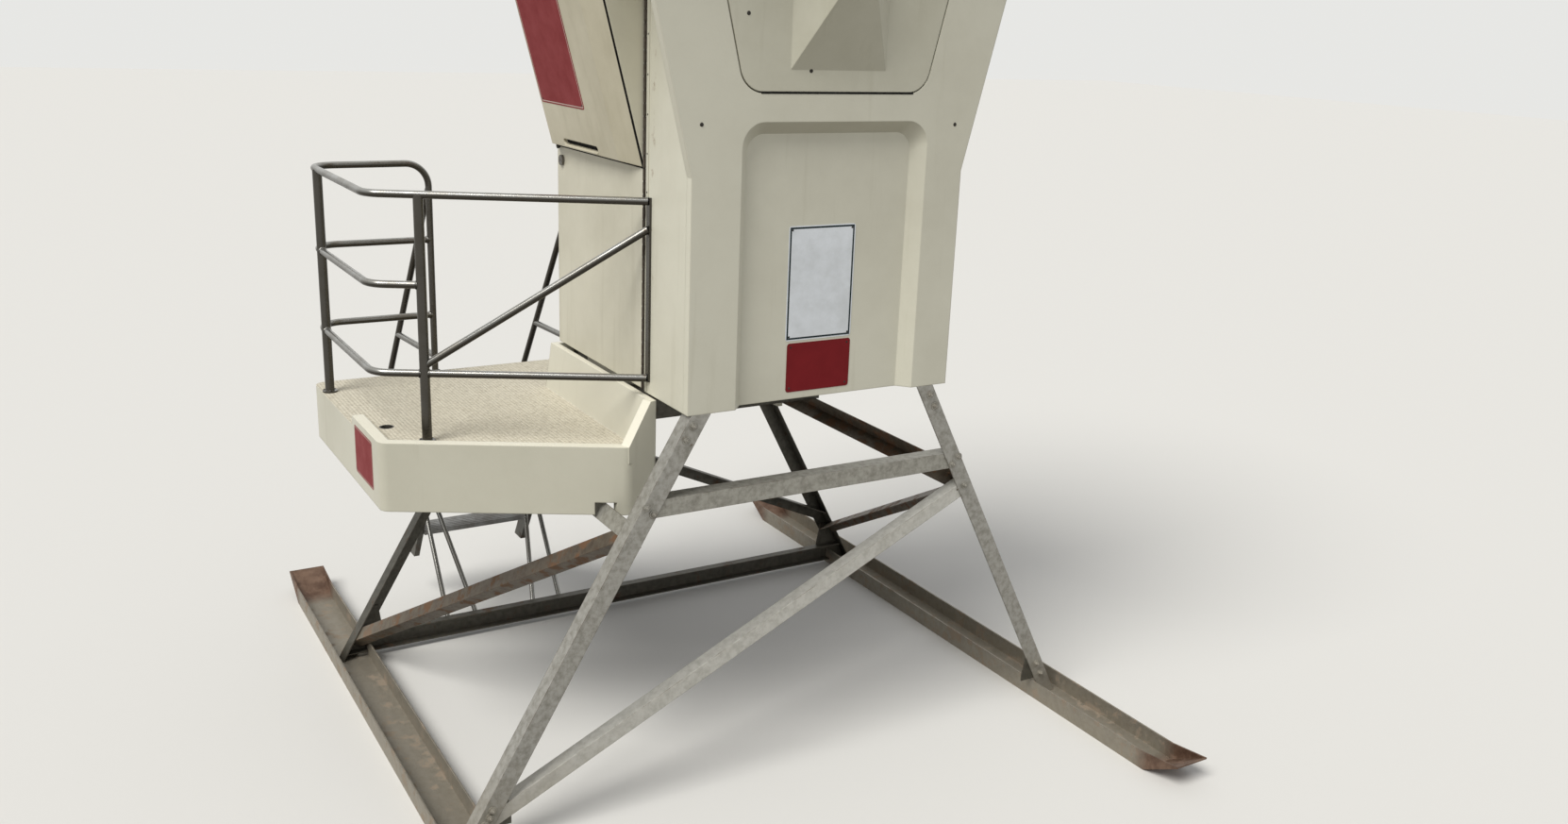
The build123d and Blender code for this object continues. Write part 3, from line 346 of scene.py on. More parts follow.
def turned(axis):
    """Rotation that takes Z to an axis."""
    return Vector(axis).normalized().to_track_quat("Z", "Y").to_matrix().to_4x4()


def join_rings(shape, low, high):
    """Faces between two rings of as many points."""
    for k in range(len(low)):
        n = (k + 1) % len(low)
        shape.faces.new((low[k], low[n], high[n], high[k]))


def close_rings(shape, low, high):
    """Solid between two rings of as many points."""
    join_rings(shape, low, high)
    shape.faces.new(high)
    shape.faces.new(list(reversed(low)))


def add_stud(shape, place, axis, radius, height, sides, top=1.0):
    """Short round or many-sided stud that stands on a point along an axis."""
    low = []
    high = []
    base = Matrix.Translation(place) @ turned(axis)
    for k in range(sides):
        angle = 2 * math.pi * k / sides
        spot = Vector((math.cos(angle) * radius, math.sin(angle) * radius, 0))
        low.append(shape.verts.new(base @ spot))
        high.append(shape.verts.new(base @ (spot * top + Vector((0, 0, height)))))
    close_rings(shape, low, high)


def add_plate(shape, corners, normal, thick):
    """Flat plate from its corners, with a thickness along its normal."""
    rise = Vector(normal).normalized() * thick
    low = [shape.verts.new(corner) for corner in corners]
    high = [shape.verts.new(Vector(corner) + rise) for corner in corners]
    close_rings(shape, low, high)


def add_bolt(shape, place, axis):
    """Hexagon bolt on its washer, with a short thread end."""
    washer = (0.019, 0.003, 16, 1.0)
    head = (0.0125, 0.010, 6, 0.97)
    thread_end = (0.0065, 0.006, 10, 0.9)
    place = Vector(place)
    for radius, height, sides, top in (washer, head, thread_end):
        add_stud(shape, place, axis, radius, height, sides, top)
        place = place + Vector(axis) * height


front_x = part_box("front_wall_strip")[0].x
near_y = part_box("near_wall")[0].y
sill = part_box("near_wall")[0].z
frame_width = 1.99
far_y = near_y + frame_width
frame_sides = ((near_y, -1.0), (far_y, 1.0))
leg_lines = {"front": (front_x - 1.0, front_x + 0.02, 1.0), "rear": (front_x + 2.165, front_x + 1.23, -1.0)}


def leg_spot(end, z, inset):
    """X of a point on a leg at a height, so far in from the leg's heel."""
    foot, top, inward = leg_lines[end]
    return foot + (top - foot) * z / sill + inward * inset


# Two bolts hold each end of a tie and two each foot, and two more hold the near legs' heads.
# The near diagonal has one bolt at each end.
tie_level = sill - 0.38
tie_bolts = ((0.024, 0.016), (0.055, -0.016))
foot_level = 0.16
foot_bolts = ((0.04, foot_level - 0.03), (0.04, foot_level + 0.03))
head_bolts = ((0.035, sill - 0.10), (0.035, sill - 0.045))
diagonal_bolts = (("front", 0.045, foot_level), ("rear", 0.045, 1.24))
bolts = bmesh.new()
for end in leg_lines:
    for y, out in frame_sides:
        for inset, rise in tie_bolts:
            add_bolt(bolts, (leg_spot(end, tie_level, inset), y, tie_level + rise), (0, out, 0))
        for inset, z in foot_bolts:
            add_bolt(bolts, (leg_spot(end, z, inset), y, z), (0, out, 0))
    for inset, z in head_bolts:
        add_bolt(bolts, (leg_spot(end, z, inset), near_y, z), (0, -1, 0))
for end, inset, z in diagonal_bolts:
    add_bolt(bolts, (leg_spot(end, z, inset), near_y, z), (0, -1, 0))
made_piece("frame_bolts", bolts, tie_shade_zinc)

# A small steel gusset plate lies behind the flange of each leg at its foot, held by the same
# bolts as the foot. It is widest along its lower edge.
behind_flange = 0.0072
gusset_thick = 0.006
gusset_foot = 0.105
gusset_head = gusset_foot + 0.16
gussets = bmesh.new()
for end in leg_lines:
    for y, out in frame_sides:
        outline = (
            (gusset_foot, 0.02, gusset_foot), (gusset_foot, 0.17, gusset_foot),
            (gusset_foot, 0.17, gusset_foot + 0.035), (gusset_head, 0.06, gusset_head),
            (gusset_head, 0.02, gusset_head),
        )
        corners = [(leg_spot(end, level, inset), y - out * behind_flange, z) for level, inset, z in outline]
        add_plate(gussets, corners, (0, -out, 0), gusset_thick)
made_piece("foot_gussets", gussets, painted_shade_zinc)

# The skid runners are two folded steel channels with turned-up tips, across the tower's front
# and back. They lie on wet ground, so the tips are brown with scale and the rest is dull.


def source(look, label):
    """What feeds one of the inputs of a finish's shader."""
    return look.node_tree.nodes["Principled BSDF"].inputs[label].links[0].from_socket


def overlay(look, mask, color):
    """Lay a colour over a finish where a mask says."""
    tree = look.node_tree
    covered = mixed(tree, mask, source(look, "Base Color"), color)
    feed(tree, tree.nodes["Principled BSDF"].inputs["Base Color"], covered)


runner_look = steel(
    "scaled runner steel", (0.20, 0.19, 0.17), (0.10, 0.09, 0.075), (0.15, 0.08, 0.045), 0.42, 0.6
)
runner_tree = runner_look.node_tree
from_middle = reckoned(runner_tree, "ABSOLUTE", coordinate(runner_tree, here(runner_tree), "Y"))
tip_mask = spread_value(runner_tree, from_middle, 0.0, 1.0, 1.70, 1.80)
scale_spots = placed(
    runner_tree, BLOTCHES, Clean=(0.20, 0.125, 0.085), Stain=(0.10, 0.055, 0.035), Size=16.0
)
overlay(runner_look, tip_mask, scale_spots.outputs["Color"])
dress(("runner_front", "runner_rear"), runner_look)

# The cabin's walls, shutters and roof are thick moulded glass-fibre with a cream gelcoat, once
# glossy and now slightly chalky. Grey dirt has run down from the edges, and the faces that look
# down are painted darker as painted shade. The cabin's floor is painted grey.


def facing_up_group():
    """1 where the surface faces up, 0 where it faces down, one half on upright faces."""
    group, _, result = new_group("facing up", {}, {"Mask": "NodeSocketFloat"})
    rise = coordinate(group, group.nodes.new("ShaderNodeNewGeometry").outputs["Normal"], "Z")
    feed(group, result["Mask"], spread_value(group, rise, 0.0, 1.0, -1.0, 1.0))
    return group


FACING_UP = facing_up_group()


def gelcoat(name, clean, stain, cover, runs_cover, rough_low, rough_high):
    """Weathered cream gelcoat: stains, drawn-out dirt, worn edges with painted highlight, painted shade
    below, orange-peel bump.
    """
    look, tree, shader = new_look(name)
    shader.inputs["Coat Roughness"].default_value = 0.35
    shader.inputs["Coat Weight"].default_value = 0.12
    broad = placed(tree, BLOTCHES, Clean=clean, Stain=stain, Size=1.3, Cover=cover, Softness=0.28)
    specks = placed(
        tree, BLOTCHES, Clean=broad.outputs["Color"], Stain=shaded(stain, 0.72, 0.70, 0.66), Size=42.0,
        Cover=0.24, Softness=0.03,
    )
    drawn = placed(tree, RUNS, Size=12.0, Cover=runs_cover)
    dirt = spread_value(tree, drawn.outputs["Mask"], 0.0, 0.55)
    dirty = mixed(tree, dirt, specks.outputs["Color"], shaded(stain, 0.8, 0.78, 0.72))
    edges = placed(tree, WORN_EDGES, Radius=0.007)
    # Edges are lightened: wear on the gelcoat, and also a painted highlight along edges and creases.
    scuffs_and_highlight = spread_value(tree, edges.outputs["Mask"], 0.0, 0.35)
    scuffed_and_highlit = mixed(tree, scuffs_and_highlight, dirty, shaded(clean, 1.08, 1.07, 1.02))
    # Faces that look down are painted darker here, as painted shade, with a darkened copy of the stain
    # colour.
    painted_underside_shade = spread_value(tree, placed(tree, FACING_UP).outputs["Mask"], 0.0, 0.62, 0.47, 0.10)
    with_underside_shade = mixed(tree, painted_underside_shade, scuffed_and_highlit, shaded(stain, 0.42, 0.40, 0.35))
    feed(tree, shader.inputs["Base Color"], with_underside_shade)
    feed(tree, shader.inputs["Roughness"], spread_value(tree, broad.outputs["Mask"], rough_low, rough_high))
    roughened(tree, shader, 130.0, 0.0006, 3.0, edges.outputs["Normal"])
    return look


shell_look = gelcoat("cream gelcoat", (0.66, 0.643, 0.535), (0.56, 0.54, 0.44), 0.42, 0.36, 0.42, 0.58)
shutter_look = gelcoat("shutter gelcoat", (0.60, 0.583, 0.477), (0.48, 0.463, 0.365), 0.46, 0.38, 0.40, 0.60)
roof_look = gelcoat("roof gelcoat", (0.60, 0.585, 0.50), (0.44, 0.425, 0.355), 0.55, 0.42, 0.50, 0.70)
floor_paint = gelcoat("grey floor paint", (0.40, 0.395, 0.37), (0.27, 0.255, 0.22), 0.50, 0.30, 0.6, 0.8)
dress(("near_wall", "far_wall", "rear_wall", "front_wall_over_door"), shell_look)
dress(("near_shutter", "far_shutter", "rear_shutter"), shutter_look)
dress(("roof",), roof_look)
dress(("cabin_floor",), floor_paint)

# The strip of front wall beside the door is the same gelcoat. Rust has washed from the steel
# bar bolted up it and stained the gelcoat on both sides of the bar.
strip_look = gelcoat("strip gelcoat", (0.66, 0.643, 0.535), (0.56, 0.54, 0.44), 0.42, 0.36, 0.42, 0.58)
strip_tree = strip_look.node_tree
bar_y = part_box("handrail_wall_bar")[0].y - 0.004
beside_bar = reckoned(strip_tree, "SUBTRACT", coordinate(strip_tree, here(strip_tree), "Y"), bar_y)
beside_bar = reckoned(strip_tree, "ABSOLUTE", beside_bar)
bar_band = spread_value(strip_tree, beside_bar, 1.0, 0.0, 0.005, 0.030)
rust_spots = placed(strip_tree, BLOTCHES, Size=14.0, Cover=0.36, Softness=0.08)
bar_rust = reckoned(strip_tree, "MULTIPLY", bar_band, rust_spots.outputs["Mask"])
overlay(strip_look, bar_rust, (0.24, 0.15, 0.085))
dress(("front_wall_strip",), strip_look)

# Dark domed screws hold the mouldings together near the walls' corners and round the
# shutters. Those of the side walls have a small raised centre.


def flat_metal(name, color, rough, metal, grain_size=220.0):
    """Small plain metal or rubber with a little grain."""
    look, tree, shader = new_look(name)
    worn = placed(tree, BLOTCHES, Clean=color, Stain=shaded(color, 0.6, 0.55, 0.5), Size=60.0)
    shader.inputs["Metallic"].default_value = metal
    feed(tree, shader.inputs["Base Color"], worn.outputs["Color"])
    feed(tree, shader.inputs["Roughness"], spread_value(tree, worn.outputs["Mask"], rough, rough + 0.2))
    roughened(tree, shader, grain_size, 0.0003, 2.0)
    return look


screw_look = flat_metal("dark screw", (0.05, 0.048, 0.042), 0.5, 0.7)
cabin_length = 1.3
cabin_depth = 1.37
cabin_sides = ((near_y, -1.0), (near_y + cabin_depth, 1.0))
head_radius = 0.0085
head_height = 0.0022
centre_radius = 0.0035
centre_height = 0.0004
wall_screws = ((0.039, 1.153), (1.249, 1.145), (0.20, 1.70), (1.10, 1.70), (-0.10, 2.02), (1.40, 2.02))
shutter_screws = ((0.230, 1.566), (0.519, 1.357), (1.075, 1.83))
rear_screws = ((0.10, 0.90), (1.27, 0.90), (0.10, 0.12), (1.27, 0.12))
screws = bmesh.new()
for along, rise in wall_screws + shutter_screws:
    for y, out in cabin_sides:
        place = Vector((front_x + along, y, sill + rise))
        add_stud(screws, place, (0, out, 0), head_radius, head_height, 14, 0.75)
        place = place + Vector((0, out * head_height, 0))
        add_stud(screws, place, (0, out, 0), centre_radius, centre_height, 6)
for along, rise in rear_screws:
    place = (front_x + cabin_length, near_y + along, sill + rise)
    add_stud(screws, place, (1, 0, 0), head_radius, head_height, 14, 0.75)
made_piece("wall_screw_heads", screws, screw_look)

# A thin black strip lies in the gap under each side shutter. It is painted shadow that makes
# the gap read dark.


def add_panel(shape, corner, along, up, normal, thick):
    """Flat four-sided plate from one corner, two sides and a thickness."""
    corner, along, up = Vector(corner), Vector(along), Vector(up)
    add_plate(shape, (corner, corner + along, corner + along + up, corner + up), normal, thick)


# This near-black finish is rubber for the hatch's seal and pull, and painted shadow in the shutters' gaps.
rubber_and_shadow_look = flat_metal("black rubber and painted shadow", (0.012, 0.012, 0.011), 0.75, 0.0, 90.0)
rubber_and_shadow_look.node_tree.nodes["Principled BSDF"].inputs["Specular IOR Level"].default_value = 0.12
shutter_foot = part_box("near_shutter")[0].z
gap_shadow_length = 0.725
gap_shadow_height = 0.008
gap_shadow_thick = 0.0015
gap_shadow_strips = bmesh.new()
for y, out in cabin_sides:
    gap_shadow_start = (front_x + 0.295, y, shutter_foot + 0.0005 - gap_shadow_height)
    add_panel(gap_shadow_strips, gap_shadow_start, (gap_shadow_length, 0, 0), (0, 0, gap_shadow_height), (0, out, 0), gap_shadow_thick)
made_piece("shutter_gap_shadows", gap_shadow_strips, rubber_and_shadow_look)

# The sign plates are thin enamelled steel, two in the near wall's sunk field, one on the hatch
# and one on the deck's front, each with four screws. They carry a border line, and the field
# inside it is left bare.


def enamel(name, field, line, inset, line_width, centre, across, halves):
    """Sheet enamel: one field colour, with a border line a little inside the plate's edge."""
    look, tree, shader = new_look(name)
    moved = fed_node(tree, "ShaderNodeVectorMath", {0: here(tree), 1: centre})
    moved.operation = "SUBTRACT"
    from_edges = []
    for direction, half in zip(across, halves):
        along = fed_node(tree, "ShaderNodeVectorMath", {0: moved.outputs[0], 1: direction})
        along.operation = "DOT_PRODUCT"
        away = reckoned(tree, "ABSOLUTE", along.outputs["Value"])
        from_edges.append(reckoned(tree, "SUBTRACT", half, away))
    nearest = reckoned(tree, "MINIMUM", *from_edges)
    on_line = reckoned(tree, "COMPARE", nearest, inset + line_width / 2, line_width / 2)
    faded = placed(tree, BLOTCHES, Clean=field, Stain=shaded(field, 0.8, 0.8, 0.78), Size=9.0, Softness=0.3)
    shader.inputs["Specular IOR Level"].default_value = 0.22
    feed(tree, shader.inputs["Base Color"], mixed(tree, on_line, faded.outputs["Color"], line))
    feed(tree, shader.inputs["Roughness"], spread_value(tree, faded.outputs["Mask"], 0.48, 0.62))
    roughened(tree, shader, 70.0, 0.0003, 2.0)
    return look


def sign_plate(name, look, centre, across, halves, body="root", thick=0.0015, head=0.0015):
    """Thin sheet with rounded corners and four screws, flat against what carries it."""
    corner_radius, screw_inset = 0.012, 0.017
    right, up = (Vector(direction).normalized() for direction in across)
    half_width, half_height = halves
    out = right.cross(up)
    centre = Vector(centre)
    corners = []
    for sx, sy, start in ((1, 1, 0), (-1, 1, 90), (-1, -1, 180), (1, -1, 270)):
        for step in range(5):
            angle = math.radians(start + 22.5 * step)
            x = sx * (half_width - corner_radius) + math.cos(angle) * corner_radius
            y = sy * (half_height - corner_radius) + math.sin(angle) * corner_radius
            corners.append(centre + right * x + up * y)
    shape = bmesh.new()
    add_plate(shape, corners, out, thick)
    made_piece(name, shape, look, body)
    heads = bmesh.new()
    for sx in (-1, 1):
        for sy in (-1, 1):
            spot = centre + right * sx * (half_width - screw_inset) + up * sy * (half_height - screw_inset)
            add_stud(heads, spot + out * thick, out, 0.0045, head, 12, 0.7)
    made_piece(name + "_screws", heads, screw_look, body)


field_depth = 0.056
field_y = near_y + field_depth - 0.0004
along_wall = ((1.0, 0.0, 0.0), (0.0, 0.0, 1.0))
white_centre = (front_x + 0.643, field_y, sill + 0.4955)
white_halves = (0.163, 0.2415)
white_look = enamel(
    "white enamel", (0.80, 0.835, 0.88), (0.01, 0.02, 0.024), 0.005, 0.008, white_centre, along_wall,
    white_halves,
)
sign_plate("white_plate", white_look, white_centre, along_wall, white_halves)
red_centre = (front_x + 0.649, field_y, sill + 0.1365)
red_halves = (0.158, 0.106)
red_look = enamel(
    "red enamel", (0.19, 0.004, 0.008), (0.14, 0.004, 0.007), 0.002, 0.002, red_centre, along_wall,
    red_halves,
)
sign_plate("red_plate", red_look, red_centre, along_wall, red_halves)

# The door is a moulded gelcoat leaf. Its upper half is a hollow bay that leans out and carries
# the hatch, a thick moulded lid whose front falls away to a thin edge, most on the hinge side.
# A slot for the fingers is sunk in the lid's foot.
door_look = gelcoat("door gelcoat", (0.62, 0.595, 0.485), (0.50, 0.475, 0.375), 0.42, 0.40, 0.42, 0.60)
hatch_look = gelcoat("hatch gelcoat", (0.67, 0.625, 0.485), (0.50, 0.46, 0.34), 0.50, 0.46, 0.45, 0.62)
dress(("door",), door_look)
lean = math.radians(15)
hatch_out = Vector((-math.cos(lean), 0, -math.sin(lean)))
hatch_up = Vector((-math.sin(lean), 0, math.cos(lean)))
hatch_right = Vector((0, -1, 0))
bay_foot = Vector((front_x, near_y + 0.8945, sill + 0.94))
hatch_gap = 0.008
hatch_half = 0.951 / 2 - hatch_gap
hatch_length = 1.04 / math.cos(lean)
hatch_thick = 0.0448
slot_across = -0.0625
slot_up = 0.056
slot_run = 0.178
slot_radius = 0.013
slot_deep = 0.018
edge_thick = 0.003
free_fall = 0.055
hinge_fall = 0.14
end_fall = 0.030


def bay_spot(across, up, out=0.0):
    """Point at a distance across, up and out from the middle of the bay's leaning foot."""
    return bay_foot + hatch_right * across + hatch_up * up + hatch_out * out


def slot_outline(radius, out):
    """Points round the finger slot, at a height over the bay."""
    points = []
    for side, start in ((1, -90), (-1, 90)):
        for step in range(9):
            angle = math.radians(start + 22.5 * step)
            across = slot_across + side * slot_run + math.cos(angle) * radius
            points.append(bay_spot(across, slot_up + math.sin(angle) * radius, out))
    return points


lid = bmesh.new()
rings = []
for left, right, end, out in (
    (0.0, 0.0, hatch_gap, 0.0), (0.0, 0.0, hatch_gap, edge_thick),
    (free_fall, hinge_fall, end_fall, hatch_thick),
):
    x0, x1 = left - hatch_half, hatch_half - right
    y0, y1 = end, hatch_length - end
    corners = ((x0, y0), (x1, y0), (x1, y1), (x0, y1))
    rings.append([lid.verts.new(bay_spot(across, up, out)) for across, up in corners])
slot_front = [lid.verts.new(point) for point in slot_outline(slot_radius, hatch_thick)]
slot_floor = [lid.verts.new(point) for point in slot_outline(slot_radius, hatch_thick - slot_deep)]
join_rings(lid, rings[0], rings[1])
join_rings(lid, rings[1], rings[2])
join_rings(lid, slot_front, slot_floor)
lid.faces.new(rings[0])
lid.faces.new(slot_floor)
front_edges = []
for ring in (rings[2], slot_front):
    for k in range(len(ring)):
        front_edges.append(lid.edges.get((ring[k], ring[(k + 1) % len(ring)])))
bmesh.ops.triangle_fill(lid, use_beauty=True, edges=front_edges)
hatch_lid = made_piece("hatch_lid", lid, hatch_look, "door")
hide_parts("door_hatch")

hatch_sign_centre = bay_spot(-0.155, 0.565, hatch_thick)
along_hatch = (hatch_right, hatch_up)
hatch_sign_halves = (0.245, 0.34)
hatch_sign_look = enamel(
    "faded red enamel", (0.23, 0.010, 0.014), (0.55, 0.45, 0.40), 0.006, 0.004, hatch_sign_centre,
    along_hatch, hatch_sign_halves,
)
sign_plate("hatch_plate", hatch_sign_look, hatch_sign_centre, along_hatch, hatch_sign_halves, "door")

# A black rubber seal runs round the hatch; it also stands as painted shadow for the dark gap
# at the hatch's edges. The slot has a dark moulded pull on its floor, near black also as painted
# shade in the slot, and a rounded lip below it, and a turned stud stands under the hatch's corner.
seal_and_gap_shadow = bmesh.new()
for side in (-1, 1):
    corners = [
        bay_spot(side * (hatch_half + wide), up)
        for wide, up in ((0.0, 0.002), (0.0075, 0.002), (0.002, 1.062), (0.0, 1.062))
    ]
    add_plate(seal_and_gap_shadow, corners, hatch_out, 0.007)
for low, proud in ((0.0005, 0.003), (hatch_length - hatch_gap, 0.015)):
    add_panel(
        seal_and_gap_shadow, bay_spot(-hatch_half, low), hatch_right * 2 * hatch_half, hatch_up * 0.007, hatch_out, proud
    )
made_piece("hatch_seal_and_gap_shadow", seal_and_gap_shadow, rubber_and_shadow_look, "door")
# The pull is dark rubber, and its near black is also painted shade in the sunk slot.
pull = bmesh.new()
add_plate(pull, slot_outline(slot_radius - 0.0002, hatch_thick - slot_deep + 0.0002), hatch_out, 0.0012)
made_piece("hatch_pull", pull, rubber_and_shadow_look, "door")
lip_half = 0.185
lip_height = 0.010
lip_thick = 0.005
lip = bmesh.new()
lip_start = bay_spot(slot_across - lip_half, slot_up - 0.024, hatch_thick)
add_panel(lip, lip_start, hatch_right * 2 * lip_half, hatch_up * lip_height, hatch_out, lip_thick)
bmesh.ops.recalc_face_normals(lip, faces=lip.faces)
bmesh.ops.bevel(lip, geom=lip.edges[:], offset=0.0022, segments=2, affect="EDGES", profile=0.5)
made_piece("hatch_pull_lip", lip, hatch_look, "door")
stud = bmesh.new()
add_stud(stud, bay_spot(0.03 - hatch_half, 0.008, 0.012), -hatch_up, 0.010, 0.012, 12, 0.8)
made_piece("hatch_stud", stud, screw_look, "door")

# The door hangs on one long stainless hinge: a painted leaf screwed to the strip, and many
# short browned knuckles in turn on a pin; the pin is near black as painted shade in the gaps
# between them. The lock and the socket in the deck are the same dull stainless.
hinge_low, hinge_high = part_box("door_hinge")
hinge_height = hinge_high.z - hinge_low.z
hinge_look = flat_metal("dull stainless", (0.20, 0.195, 0.18), 0.38, 0.85)
gap_shade_pin_look = flat_metal("pin with painted gap shade", (0.02, 0.019, 0.017), 0.7, 0.2)
knuckle_look = flat_metal("browned hinge steel", (0.085, 0.07, 0.055), 0.55, 0.5)
pin_x = front_x - 0.007
pin_y = near_y + 0.41
pin_radius = 0.004
knuckle_radius = 0.006
knuckle_pitch = 0.052
knuckle_gap = 0.006
knuckle_count = int(hinge_height / knuckle_pitch)
knuckles = bmesh.new()
for k in range(knuckle_count):
    z = hinge_low.z + 0.002 + k * knuckle_pitch
    add_stud(knuckles, (pin_x, pin_y, z), (0, 0, 1), knuckle_radius, knuckle_pitch - knuckle_gap, 14)
made_piece("hinge_knuckles", knuckles, knuckle_look)
pin = bmesh.new()
add_stud(pin, (pin_x, pin_y, hinge_low.z), (0, 0, 1), pin_radius, hinge_height, 12)
made_piece("hinge_pin", pin, gap_shade_pin_look)
leaf_start = (front_x, near_y + 0.38, hinge_low.z)
leaf_width = 0.024
leaf_thick = 0.003
leaf = bmesh.new()
add_panel(leaf, leaf_start, (0, leaf_width, 0), (0, 0, hinge_height), (-1, 0, 0), leaf_thick)
hinge_leaf = made_piece("hinge_leaf", leaf, strip_look)
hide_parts("door_hinge")
leaf_screws = bmesh.new()
for k in range(knuckle_count // 3):
    place = Vector(leaf_start) + Vector((-leaf_thick, 0.011, 0.06 + k * knuckle_pitch * 3))
    add_stud(leaf_screws, place, (-1, 0, 0), 0.0045, 0.0012, 12, 0.7)
made_piece("hinge_screws", leaf_screws, screw_look)
dress(("door_hinge", "door_lock", "deck_socket"), hinge_look)

# The deck is a moulded gelcoat tray with a low rim, a deep skirt and a floor moulded with a
# woven, non-slip pattern. The floor is scuffed and gritty, and faces that look up are painted
# paler as painted light from above.
deck_look = gelcoat("deck gelcoat", (0.575, 0.557, 0.458), (0.50, 0.482, 0.388), 0.40, 0.33, 0.42, 0.58)
deck_tree = deck_look.node_tree
deck_shader = deck_tree.nodes["Principled BSDF"]
deck_floor = sill - 0.228
deck_up = placed(deck_tree, FACING_UP).outputs["Mask"]
at_floor = reckoned(deck_tree, "COMPARE", coordinate(deck_tree, here(deck_tree), "Z"), deck_floor, 0.004)
on_floor = reckoned(deck_tree, "MULTIPLY", at_floor, reckoned(deck_tree, "GREATER_THAN", deck_up, 0.93))
threads = []
for direction in ("X", "Y"):
    bands = fed_node(
        deck_tree, "ShaderNodeTexWave", {"Vector": here(deck_tree), "Scale": 19.0, "Distortion": 0.4}
    )
    bands.bands_direction = direction
    threads.append(bands.outputs["Fac"])
weave = reckoned(deck_tree, "MULTIPLY", *threads)
gritty = placed(
    deck_tree, BLOTCHES, Clean=(0.81, 0.765, 0.635), Stain=(0.60, 0.555, 0.445), Size=70.0, Cover=0.45,
    Softness=0.12,
)
hollows = spread_value(deck_tree, weave, 1.0, 0.0)
worn_floor = mixed(deck_tree, hollows, gritty.outputs["Color"], (0.76, 0.745, 0.72), "MULTIPLY")
# Faces that look up are painted paler here: painted light from above.
overlay(deck_look, spread_value(deck_tree, deck_up, 0.0, 1.0, 0.50, 0.64), (0.80, 0.77, 0.645))
overlay(deck_look, on_floor, worn_floor)
floor_rough = spread_value(deck_tree, on_floor, 0.0, 0.9)
deck_rough = reckoned(deck_tree, "MAXIMUM", source(deck_look, "Roughness"), floor_rough)
feed(deck_tree, deck_shader.inputs["Roughness"], deck_rough)
woven = fed_node(
    deck_tree, "ShaderNodeBump",
    {"Height": reckoned(deck_tree, "MULTIPLY", weave, on_floor), "Distance": 0.003, "Strength": 0.8,
     "Normal": source(deck_look, "Normal")},
)
feed(deck_tree, deck_shader.inputs["Normal"], woven.outputs[0])
dress(("deck",), deck_look)

deck_sign_centre = (front_x - 1.0548, near_y + 0.97, sill - 0.322)
along_skirt = ((0.0, -1.0, 0.0), (0.0, 0.0, 1.0))
deck_sign_halves = (0.145, 0.107)
deck_sign_look = enamel(
    "deck red enamel", (0.22, 0.010, 0.014), (0.45, 0.34, 0.30), 0.005, 0.003, deck_sign_centre, along_skirt,
    deck_sign_halves,
)
sign_plate(
    "deck_plate", deck_sign_look, deck_sign_centre, along_skirt, deck_sign_halves, "root", 0.0007,
    0.0004,
)

# The handrails are round stainless tube, welded into loops on posts and bolted to the deck
# through foot flanges. They were brushed and then left to the weather, with a tea-coloured bloom.
# The tube is painted near black below and pale on top, as painted reflection of the dark ground.
rail_look, rail_tree, rail_shader = new_look("weathered stainless tube")
rail_shader.inputs["Metallic"].default_value = 0.8
bloom = placed(
    rail_tree, BLOTCHES, Clean=(0.40, 0.40, 0.385), Stain=(0.28, 0.265, 0.235), Size=7.0, Cover=0.46,
    Softness=0.2,
)
tea = placed(
    rail_tree, BLOTCHES, Clean=bloom.outputs["Color"], Stain=(0.16, 0.11, 0.07), Size=26.0, Cover=0.32,
    Softness=0.07,
)
# Undersides are painted near black and tops pale: painted reflection of the dark ground, and painted shade.
painted_reflection_mask = spread_value(rail_tree, placed(rail_tree, FACING_UP).outputs["Mask"], 0.0, 1.0, 0.46, 0.86)
rail_color = mixed(rail_tree, painted_reflection_mask, (0.045, 0.04, 0.032), tea.outputs["Color"])
feed(rail_tree, rail_shader.inputs["Base Color"], rail_color)
feed(rail_tree, rail_shader.inputs["Roughness"], spread_value(rail_tree, bloom.outputs["Mask"], 0.20, 0.36))
roughened(rail_tree, rail_shader, 300.0, 0.0003, 2.0)
dress(("handrail_wall_bar", "handrail_posts", "handrail_diagonal"), rail_look)
for rail in ("top", "middle", "lower"):
    dress((f"handrail_{rail}_front", f"handrail_{rail}_rear"), rail_look)


def add_bead(shape, place, axis, radius, thick):
    """Weld bead: a small lumpy ring round a tube."""
    base = Matrix.Translation(place) @ turned(axis)
    rings = []
    for k in range(20):
        angle = 2 * math.pi * k / 20
        swell = thick * (1.0 + 0.18 * math.sin(5 * angle))
        ring = []
        for m in range(6):
            turn = 2 * math.pi * m / 6
            reach = radius + math.cos(turn) * swell
            spot = Vector((math.cos(angle) * reach, math.sin(angle) * reach, math.sin(turn) * swell))
            ring.append(shape.verts.new(base @ spot))
        rings.append(ring)
    for k in range(20):
        join_rings(shape, rings[k], rings[(k + 1) % 20])


middle_rail = sill + 0.445
lower_rail = sill + 0.07
post_near = Vector((front_x - 0.83, near_y + 0.79, 0))
post_far = Vector((front_x - 1.02, near_y + 1.715, 0))
post_bend = Vector((front_x - 0.47, near_y + 1.865, 0))
post_ladder = Vector((front_x + 0.29, near_y + 1.865, 0))
post_rear = Vector((front_x + 1.21, near_y + 1.715, 0))
posts = (post_near, post_far, post_bend, post_ladder, post_rear)
along_x = Vector((1, 0, 0))
along_y = Vector((0, 1, 0))
to_wall = (Vector((front_x - 0.01, near_y + 0.365, 0)) - post_near).normalized()
rail_joints = [
    (post, run, gap, level) for level in (middle_rail, lower_rail) for post, run, gap in (
        (post_bend, along_x, -0.0175), (post_ladder, along_x, 0.0175), (post_far, along_y, -0.021),
        (post_far, along_y, 0.021), (post_rear, along_y, -0.021), (post_rear, along_y, 0.021),
        (post_near, to_wall, -0.021),
    )
]
